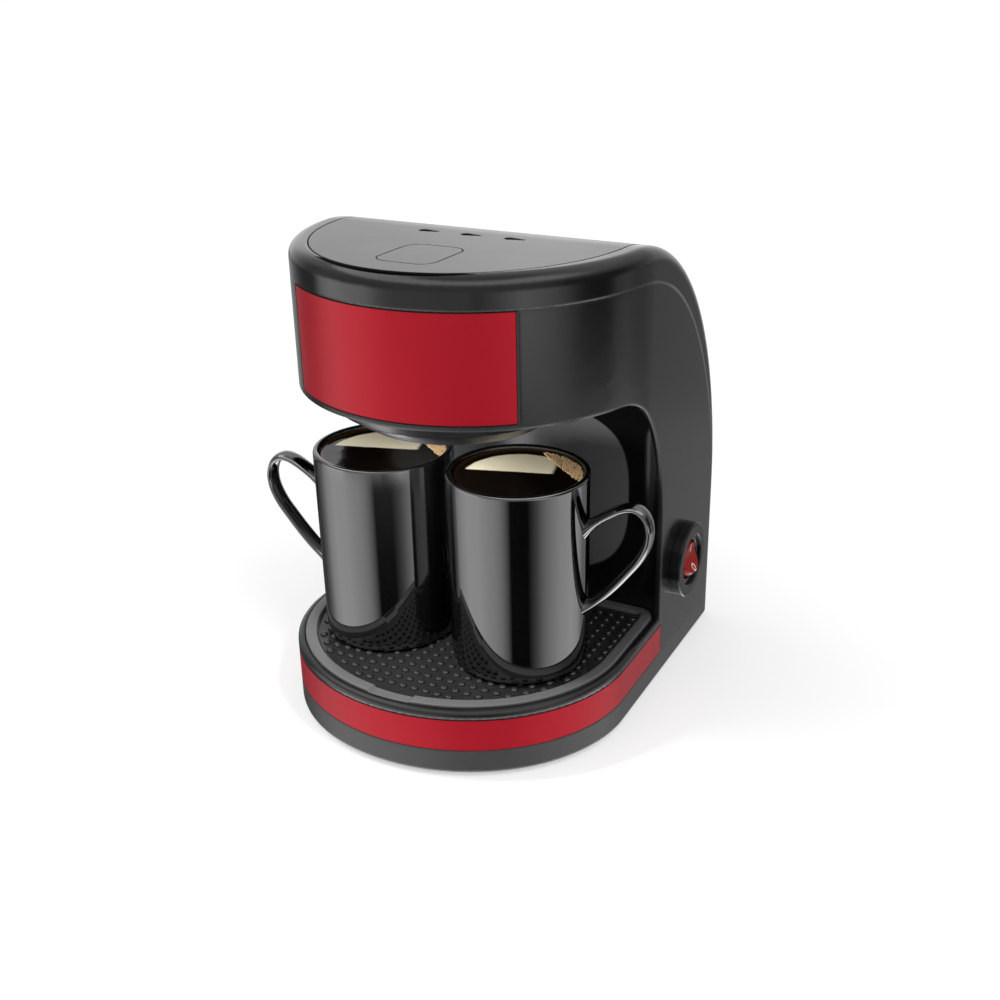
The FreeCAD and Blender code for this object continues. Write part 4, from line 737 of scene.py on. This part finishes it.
def coffee_finish(name, centre):
    material, tree, shader = new_finish(name)
    seat = new_node(tree, "ShaderNodeMapping", {
        "Location": (-centre.x, -centre.y, 0), "Vector": object_place(tree)})
    x, y, _ = split_vector(tree, seat.outputs[0])
    sine, cosine = math.sin(REFLECTION_TURN), math.cos(REFLECTION_TURN)
    away = add(tree, multiply(tree, x, -sine), multiply(tree, y, cosine))
    along = add(tree, multiply(tree, x, cosine), multiply(tree, y, sine))
    reach = math_node(tree, "SQRT", add(tree, multiply(tree, x, x), multiply(tree, y, y)))
    waver = multiply(tree, subtract(tree, noise(tree, WAVER_SCALE, 2), 0.5), WAVER_REACH)

    def past(value, edge, softness):
        """1 where the value is past an edge that wavers a little."""
        return rise(tree, add(tree, value, waver), edge - softness, edge + softness)

    # A pale patch of painted reflection on the far part of the drink.
    painted_reflection = multiply(tree, past(away, REFLECTION_EDGE, 0.5 * MM),
                     subtract(tree, 1.0, past(reach, REFLECTION_RADIUS, 0.7 * MM)))
    painted_reflection = multiply(tree, painted_reflection, subtract(tree, 1.0, past(along, REFLECTION_SIDE, 1.2 * MM)))
    drink = mix_colour(tree, past(reach, RING_RADIUS, 1.5 * MM), DRINK_DARK, DRINK_EDGE)
    reflection_tone = mix_colour(tree, noise(tree, REFLECTION_SCALE, 4), DRINK_REFLECTION_DARK, DRINK_REFLECTION_LIGHT)
    fill_all(tree, shader, {
        "Base Color": mix_colour(tree, painted_reflection, drink, reflection_tone),
        "Roughness": spread(tree, painted_reflection, 0.10, 0.45),
        "Normal": bump(tree, noise(tree, SKIN_SCALE, 2), SKIN_DEPTH), "IOR": DRINK_IOR})
    return material


print("coffee finish ready")

# %% Pour the coffee
COFFEE_DROP = 2.6 * MM
COFFEE_DEPTH = 2.5 * MM


def coffee(name, body, direction):
    centre = Vector((direction * MUG_X, MUG_Y, MUG_BASE + MUG_HEIGHT - COFFEE_DROP))
    edge = RIM_RADIUS - MUG_WALL - 0.05 * MM
    climb = ((0.0, 0.6), (0.4, 0.25), (1.2, 0.05), (2.4, 0.0))
    outline = ((0.0, -COFFEE_DEPTH), (edge, -COFFEE_DEPTH),
               *((edge - inward * MM, up * MM) for inward, up in climb), (0.0, 0.0))
    points, faces = turned(outline, centre)
    finish = coffee_finish(f"{name}_drink", centre)
    return piece_from(name, points, faces, finish, body, sharp=50)


for side, direction in SIDES:
    print(coffee(f"{side}_coffee", f"mug_{side}", direction).name, "poured")

# %% [markdown]
# ## Repeating things with Geometry Nodes
# Dimples, bubbles and the filter's wires are the same small shape many times over. A node tree
# places them by a rule. Each tree below has named inputs for its sizes and ends in Realize
# Instances and Set Material. Its result is then kept as a plain mesh that can ride on a body.

# %% Tools for node trees
def tree_with(name, sizes):
    """A geometry tree whose sizes are named inputs; returns the tree and what it is given."""
    tree = bpy.data.node_groups.new(name, "GeometryNodeTree")
    new_socket = tree.interface.new_socket
    for way in ("INPUT", "OUTPUT"):
        new_socket(name="Geometry", in_out=way, socket_type="NodeSocketGeometry")
    for title, value in sizes.items():
        new_socket(name=title, in_out="INPUT", socket_type="NodeSocketFloat").default_value = value
    return tree, tree.nodes.new("NodeGroupInput").outputs


def closed_tree(tree, source, finish):
    """End a tree in one real mesh with a finish, and hand the tree back."""
    real = new_node(tree, "GeometryNodeRealizeInstances", {0: source}).outputs[0]
    paint = new_node(tree, "GeometryNodeSetMaterial", {"Geometry": real, "Material": finish})
    new_node(tree, "NodeGroupOutput", {0: paint.outputs[0]})
    return tree


def grown(name, base, tree, sizes, finish, body, sharp=50):
    """Run a tree on a base mesh, keep the result as a plain mesh and let it ride on a body."""
    holder = placed(f"{name}_base", base)
    modifier = holder.modifiers.new(name, "NODES")
    modifier.node_group = tree
    for item in tree.interface.items_tree:
        if item.in_out == "INPUT" and item.name in sizes:
            modifier[item.identifier] = sizes[item.name]
    evaluated = holder.evaluated_get(bpy.context.evaluated_depsgraph_get())
    mesh = bpy.data.meshes.new_from_object(evaluated)
    mesh.name = name
    bpy.data.objects.remove(holder)
    return riding(name, mesh, finish, body, sharp)


print("geometry tools ready: tree_with, closed_tree, grown")

# %% [markdown]
# ## Bubbles on the coffee
# Foam is many bubbles of different sizes, thickest near the wall. The tree scatters points on a
# small patch of the drink with a fixed seed and puts a little ball on each, scaled at random.

# %% Foam tree
# Density counts the bubbles on a square metre.
FOAM_SIZES = {"Density": 3000000.0, "Bubble": 0.66 * MM}
SMALLEST_SHARE = 0.35
FOAM = moulded("coffee_foam", (0.30, 0.17, 0.07), (0.66, 0.48, 0.27), (0.15, 0.3), edge=0,
               ior=DRINK_IOR)


def foam_tree(finish):
    tree, given = tree_with("foam", FOAM_SIZES)
    scatter = new_node(tree, "GeometryNodeDistributePointsOnFaces", {
        "Mesh": given["Geometry"], "Density": given["Density"], "Seed": 7})
    ball = new_node(tree, "GeometryNodeMeshUVSphere", {
        "Segments": 8, "Rings": 5, "Radius": given["Bubble"]})
    size = new_node(tree, "FunctionNodeRandomValue", {2: SMALLEST_SHARE, 3: 1.0, "Seed": 3},
                    data_type="FLOAT")
    place = new_node(tree, "GeometryNodeInstanceOnPoints", {
        "Points": scatter.outputs["Points"], "Instance": ball.outputs["Mesh"],
        "Scale": size.outputs[1]})
    return closed_tree(tree, place.outputs[0], finish)


def foam_patch(centre, start, end, inner, outer, steps=24):
    """A crescent of faces beside the wall, between two angles in degrees and two radii."""
    mesh = bpy.data.meshes.new("foam_patch")
    points = []
    for step in range(steps + 1):
        share = step / steps
        angle = math.radians(start + (end - start) * share)
        bulge = math.sin(math.pi * share) ** 0.6
        for radius in (outer - (outer - inner) * bulge, outer):
            points.append((*on_ellipse(centre, radius, radius, angle), centre.z))
    mesh.from_pydata(points, [], [(2 * i, 2 * i + 1, 2 * i + 3, 2 * i + 2) for i in range(steps)])
    return mesh


# %% Foam in both mugs
FOAM_SINK = 0.1 * MM
bubbling = foam_tree(FOAM)
for side, direction in SIDES:
    centre = Vector((direction * MUG_X, MUG_Y, MUG_BASE + MUG_HEIGHT - COFFEE_DROP - FOAM_SINK))
    patch = foam_patch(centre, start=8, end=92, inner=21.5 * MM, outer=30.9 * MM)
    bubbles = grown(f"{side}_foam", patch, bubbling, FOAM_SIZES, FOAM, f"mug_{side}")
    print(bubbles.name, "faces:", len(bubbles.data.polygons))

# %% [markdown]
# ## Drip tray
# The tray is a glossy moulding: a raised lip follows the D of the base, falls to a flat plate, and
# dips at the front where a finger lifts it out. The lip is a stack of rings with the same number of
# points, each the D outline drawn in by a little more, so that the edges can be rounded by choosing
# the rings. The plate stands lower than the measured tray's face, because that face marks the top
# of the dimples, and the mugs stand on those.

# %% The tray's outline
TRAY_CORNER = 10 * MM
LIP_TOP = TRAY_HIGH.z
PLATE_Z = LIP_TOP - 2.3 * MM
DIMPLE_TOP = LIP_TOP - 0.8 * MM
NOSE_STEPS, SIDE_STEPS, CORNER_STEPS, BACK_STEPS = 280, 10, 10, 20


def straight(start, end, steps):
    """Points (x, y) on a line from one place up to, but not including, another."""
    across, ahead = end[0] - start[0], end[1] - start[1]
    return [(start[0] + across * step / steps, start[1] + ahead * step / steps)
            for step in range(steps)]


def tray_outline(inset):
    """The tray's D drawn in by an inset, from its nose round the right side and the rear."""
    half, depth, rear = TRAY_HALF - inset, TRAY_DEPTH - inset, TRAY_REAR - inset
    corner = max(TRAY_CORNER - inset, 2 * MM)
    corner_x, corner_y, quarter = half - corner, rear - corner, math.pi / 2
    return (arc((0.0, ARC_Y), half, depth, math.pi, 2 * math.pi, NOSE_STEPS)
            + straight((half, ARC_Y), (half, corner_y), SIDE_STEPS)
            + arc((corner_x, corner_y), corner, corner, 0, quarter, CORNER_STEPS)
            + straight((corner_x, rear), (-corner_x, rear), BACK_STEPS)
            + arc((-corner_x, corner_y), corner, corner, quarter, math.pi, CORNER_STEPS)
            + straight((-half, corner_y), (-half, ARC_Y), SIDE_STEPS))


PER_RING = len(tray_outline(0))
print("tray half width (mm):", round(TRAY_HALF / MM, 1), "points per ring:", PER_RING)

# %% The tray's rings
# Each ring is (inset of the D, height above the lip's top) in millimetres: up the outer wall, over
# the rounded lip and down to the plate. Rings within LIP_WIDTH dip only to the notch's floor.
RING_STACK = (
    (2.5, -7.0), (0.0, -7.0), (0.0, -0.75), (0.08, -0.45), (0.25, -0.2), (0.5, -0.05), (0.8, 0.0),
    (4.9, 0.0), (5.3, -0.06), (5.6, -0.25), (5.85, -0.6), (6.1, -1.4), (6.3, -1.9), (6.6, -2.2),
    (7.1, -2.3))
LIP_WIDTH = 6.5
NOTCH_HALF = 10.0 * MM
NOTCH_EDGE = 1.6 * MM
NOTCH_FLOOR = PLATE_Z + 0.5 * MM
UNDER_INSET, UNDER_DROP = 2.5 * MM, 2.5 * MM


def smooth_step(value):
    value = min(max(value, 0.0), 1.0)
    return value * value * (3 - 2 * value)


def tray_rings():
    """Points of every ring; in front, near the middle, the lip dips to the floor of the notch."""
    points = []
    for inset, drop in RING_STACK:
        height = LIP_TOP + drop * MM
        dipped = min(height, NOTCH_FLOOR if inset < LIP_WIDTH else PLATE_Z)
        for x, y in tray_outline(inset * MM):
            dip = smooth_step((NOTCH_HALF + NOTCH_EDGE - abs(x)) / NOTCH_EDGE) if y < ARC_Y else 0.0
            points.append((x, y, height + dip * (dipped - height)))
    return points


def drip_tray():
    points = tray_rings()
    plate, under = len(points) - PER_RING, len(points)
    points += [(x, y, PLATE_Z - UNDER_DROP) for x, y in tray_outline(UNDER_INSET)]
    faces = rings(PER_RING, len(RING_STACK)) + bridge(under, 0, PER_RING)
    faces += [tuple(range(start, start + PER_RING)) for start in (plate, under)]
    piece = piece_from("tray_moulding", points, faces, FINISHES["tray"], "tray",
                       sharp=50)
    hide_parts("drip_tray")
    return piece


print(drip_tray().name, "made of", len(RING_STACK), "rings")

# %% [markdown]
# ## Dimples
# Rows of low bumps keep the mugs out of the drips. They follow a plain square grid, so a grid mesh
# gives their places, the ones outside the D are deleted, and a small dome stands on each.

# %% Dimple tree
DIMPLE_PITCH, DIMPLE_MARGIN = 6.3 * MM, 9.3 * MM
DIMPLE_SIZES = {
    "Radius": 2.1 * MM, "Height": DIMPLE_TOP - PLATE_Z, "Half": TRAY_HALF - DIMPLE_MARGIN,
    "Depth": TRAY_DEPTH - DIMPLE_MARGIN, "ArcY": ARC_Y}


def dimple_tree(finish):
    tree, given = tree_with("dimples", DIMPLE_SIZES)
    x, y, _ = split_vector(tree, new_node(tree, "GeometryNodeInputPosition").outputs[0])
    reach = d_reach(tree, x, y, given["Half"], given["Depth"], given["ArcY"])
    outside = math_node(tree, "GREATER_THAN", reach, 1.0)
    keep = new_node(tree, "GeometryNodeDeleteGeometry", {
        "Geometry": given["Geometry"], "Selection": outside}, domain="POINT")
    ball = new_node(tree, "GeometryNodeMeshUVSphere", {"Segments": 10, "Rings": 6, "Radius": 1.0})
    stretch = new_node(tree, "ShaderNodeCombineXYZ", {
        "X": given["Radius"], "Y": given["Radius"], "Z": given["Height"]})
    dome = new_node(tree, "GeometryNodeTransform", {
        "Geometry": ball.outputs["Mesh"], "Scale": stretch.outputs[0]})
    place = new_node(tree, "GeometryNodeInstanceOnPoints", {
        "Points": keep.outputs[0], "Instance": dome.outputs[0]})
    return closed_tree(tree, place.outputs[0], finish)


def dimple_places():
    """Grid points in straight rows over the plate; the tree keeps those inside the D."""
    columns = int(TRAY_HALF / DIMPLE_PITCH)
    first_row, front = TRAY_REAR - 11 * MM, -100 * MM
    rows = int((first_row - 3 * MM - front) / DIMPLE_PITCH)
    points = [(i * DIMPLE_PITCH, first_row - j * DIMPLE_PITCH, PLATE_Z)
              for i in range(-columns, columns + 1) for j in range(rows)]
    mesh = bpy.data.meshes.new("dimple_places")
    mesh.from_pydata(points, [], [])
    return mesh


dimples = grown("tray_dimples", dimple_places(), dimple_tree(FINISHES["tray"]), DIMPLE_SIZES,
                FINISHES["tray"], "tray")
print("dimple faces:", len(dimples.data.polygons))

# %% [markdown]
# ## Permanent filter
# The filter is a cup of fine woven wire in a moulded frame. The cup is a plain lathe mesh; a tree
# turns its edges into wires. The frame is a ring at the mouth, a disc at the bottom and six ribs.

# %% Filter wires
MESH_LOW, MESH_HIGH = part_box("mesh_filter")
BREW_Y = (MESH_LOW.y + MESH_HIGH.y) / 2
CUP_TOP = MESH_HIGH.z - 2.0 * MM
CUP_RADIUS, CUP_FOOT_RADIUS = MESH_HIGH.x - 0.6 * MM, 23.0 * MM
WIRE_SIZES = {"Wire": 0.16 * MM}


def cup_radius(share):
    """The cup's radius at a share of its height: a round foot that soon reaches the full width."""
    return CUP_FOOT_RADIUS + (CUP_RADIUS - CUP_FOOT_RADIUS) * min(1.0, share * 2.4) ** 0.8


def wire_tree(finish):
    tree, given = tree_with("wires", WIRE_SIZES)
    edges = new_node(tree, "GeometryNodeMeshToCurve", {0: given["Geometry"]}).outputs[0]
    section = new_node(tree, "GeometryNodeCurvePrimitiveCircle", {
        "Resolution": 4, "Radius": given["Wire"]}).outputs[0]
    wires = new_node(tree, "GeometryNodeCurveToMesh", {"Curve": edges, "Profile Curve": section})
    return closed_tree(tree, wires.outputs[0], finish)


def cup_mesh(steps=110, levels=22):
    low = MESH_LOW.z + 0.6 * MM
    mesh = bpy.data.meshes.new("filter_cup")
    shares = [level / levels for level in range(levels + 1)]
    outline = [(cup_radius(share), low + (CUP_TOP - low) * share) for share in shares]
    points, faces = turned(outline, Vector((0, BREW_Y, 0)), steps)
    mesh.from_pydata(points, [], faces)
    return mesh


weave = grown("filter_weave", cup_mesh(), wire_tree(FINISHES["steel"]), WIRE_SIZES,
              FINISHES["steel"], "housing")
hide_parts("mesh_filter")
print("wire faces:", len(weave.data.polygons))

# %% Filter frame
RIBS, RIB_HALF_WIDTH, RIB_IN, RIB_OUT = 6, 0.8 * MM, -1.1 * MM, 0.3 * MM
RIB_LEVELS = (0, 0.05, 0.1, 0.17, 0.25, 0.33, 0.42, 0.6, 1.0)
DISC_RADIUS, DISC_HEIGHT = 23.4 * MM, 1.2 * MM


def rib(angle):
    """A bar that follows the cup's wall, mostly inside it, with a rectangular section."""
    low = MESH_LOW.z
    out = Vector((math.cos(angle), math.sin(angle), 0))
    side = Vector((-out.y, out.x, 0)) * RIB_HALF_WIDTH
    points = []
    for share in RIB_LEVELS:
        place = Vector((0, BREW_Y, low + (CUP_TOP - low) * share))
        for reach, way in ((RIB_IN, -1), (RIB_OUT, -1), (RIB_OUT, 1), (RIB_IN, 1)):
            points.append(place + out * (cup_radius(share) + reach) + side * way)
    ends = [tuple(range(4)), tuple(range(len(points) - 4, len(points)))]
    return points, rings(4, len(RIB_LEVELS)) + ends


def filter_frame():
    low, axis = MESH_LOW.z, Vector((0, BREW_Y, 0))
    mouth = ((CUP_RADIUS - 1.2 * MM, CUP_TOP), (CUP_RADIUS + 0.5 * MM, CUP_TOP),
             (CUP_RADIUS + 0.5 * MM, MESH_HIGH.z - 0.4 * MM), (CUP_RADIUS + 0.1 * MM, MESH_HIGH.z),
             (CUP_RADIUS - 1.6 * MM, MESH_HIGH.z), (CUP_RADIUS - 1.2 * MM, CUP_TOP))
    disc = ((0.0, low), (DISC_RADIUS, low), (DISC_RADIUS, low + DISC_HEIGHT),
            (0.0, low + DISC_HEIGHT))
    ribs = [rib(2 * math.pi * (index + 0.5) / RIBS) for index in range(RIBS)]
    points, faces = joined(turned(mouth, axis), turned(disc, axis), *ribs)
    return piece_from("filter_frame", points, faces, FINISHES["charcoal"], "housing")


print(filter_frame().name, "made")

# %% [markdown]
# ## Painted shadow in the gap round the lid
# The lid drops into the rim with a finger-nail's gap. Its depth is always in shadow, and a narrow
# matt black ribbon along the rim's inner edge is that shadow painted, so it shows from every side.
# The ribbon follows the lid's D, a half ellipse, as far as the top stays level.

# %% Painted shadow ribbon round the lid
LID_LOW, LID_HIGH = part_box("lid")
LID_HALF = LID_HIGH.x
LID_ARC_Y = 1.0 * MM
LID_DEPTH = LID_ARC_Y - LID_LOW.y
LID_TOP = CAD_BOX[1].z
# The ribbon's section as (distance outside the lid, height above the lid's top) in millimetres.
SHADOW_RIBBON_SECTION = ((0.05, -0.02), (1.9, -0.26), (1.9, -0.80), (0.05, -0.5))
SHADOW_RIBBON_ENDS = 0.07


def lid_edge(outset, steps=160):
    """The nose of the lid's D, short of both ends by a small angle, because the top falls there."""
    turn = (math.pi - 2 * SHADOW_RIBBON_ENDS) / steps
    return [on_ellipse((0.0, LID_ARC_Y), LID_HALF + outset, LID_DEPTH + outset,
                       math.pi + SHADOW_RIBBON_ENDS + turn * step) for step in range(steps + 1)]


def lid_gap_shadow():
    points = []
    for outset, drop in SHADOW_RIBBON_SECTION:
        points += [(x, y, LID_TOP + drop * MM) for x, y in lid_edge(outset * MM)]
    edges = len(SHADOW_RIBBON_SECTION)
    count = len(points) // edges
    starts = [edge * count for edge in range(edges)]
    faces = []
    for first, second in zip(starts, starts[1:] + starts[:1]):
        faces += bridge(first, second, count, closed=False)
    faces += [tuple(starts), tuple(start + count - 1 for start in starts)]
    return piece_from("lid_gap_shadow", points, faces, FINISHES["dark"], "housing")


print(lid_gap_shadow().name, "laid round the lid, half width (mm):", round(LID_HALF / MM, 1))

# %% [markdown]
# ## Switch marks
# The rocker carries the usual ring for off on its lower half and a bar for on above it, printed in
# a pale ink. They are thin raised shapes that lie on the two slopes and tip with the rocker.

# %% The rocker's two slopes
# A rocker is lowest at its waist and climbs to both ends. Each mark lies about halfway up a slope.
JOINTS = {joint["name"]: joint for joint in frame["record"]["behaviour"]["joints"]}
ROCKER_AXIS = Vector(JOINTS["switch_rocker"]["pos_m"])
ROCKER_TILT = math.radians(-12.0)
SLOPE = math.atan2(3.4, 9.54)
WAIST_OUT, WAIST_UP = 4.5 * MM, 1.06 * MM
MARK_MIDDLE = 4.9 * MM


def on_slope(points, up):
    """Move points (across, along, out) onto the rocker's upper (1) or lower (-1) slope."""
    tilt = Matrix.Rotation(ROCKER_TILT, 4, "Y")
    along = Vector((math.sin(SLOPE), 0, up * math.cos(SLOPE)))
    out = Vector((math.cos(SLOPE), 0, -up * math.sin(SLOPE)))
    foot = Vector((WAIST_OUT, 0, up * WAIST_UP))
    return [ROCKER_AXIS + tilt @ (foot + Vector((0, across, 0)) + along * far + out * high)
            for across, far, high in points]


def ring_mark(half_width, half_height, line, steps=40, around=8):
    """A flattened torus: an ellipse of small sections, closed on itself."""
    points = []
    for step in range(steps):
        angle = 2 * math.pi * step / steps
        edge = Vector(on_ellipse((0, 0), half_width, half_height, angle))
        way = Vector((math.cos(angle) / half_width, math.sin(angle) / half_height)).normalized()
        for turn in range(around):
            lean = 2 * math.pi * turn / around
            place = edge + way * (line * math.cos(lean))
            points.append((place.x, MARK_MIDDLE + place.y, 0.05 * MM + 0.14 * MM * math.sin(lean)))
    return points, rings(around, steps) + bridge((steps - 1) * around, 0, around)


def bar_mark(half_width, half_height, low, high):
    """A thin upright box."""
    points = [(x * half_width, MARK_MIDDLE + y * half_height, z)
              for x in (-1, 1) for y in (-1, 1) for z in (low, high)]
    faces = [(0, 1, 3, 2), (4, 6, 7, 5), (0, 4, 5, 1), (2, 3, 7, 6), (0, 2, 6, 4), (1, 5, 7, 3)]
    return points, faces


print("rocker axis (mm):", [round(value / MM, 1) for value in ROCKER_AXIS])

# %% Marks on the rocker
INK = moulded("pale_ink", (0.72, 0.62, 0.58), (0.80, 0.70, 0.66), (0.35, 0.45), edge=0)
ring_points, ring_faces = ring_mark(1.5 * MM, 2.1 * MM, line=0.36 * MM)
piece_from("off_mark", on_slope(ring_points, -1), ring_faces, INK, "rocker")
bar_points, bar_faces = bar_mark(0.35 * MM, 2.1 * MM, low=-0.05 * MM, high=0.16 * MM)
piece_from("on_mark", on_slope(bar_points, 1), bar_faces, INK, "rocker")
print("switch marked")
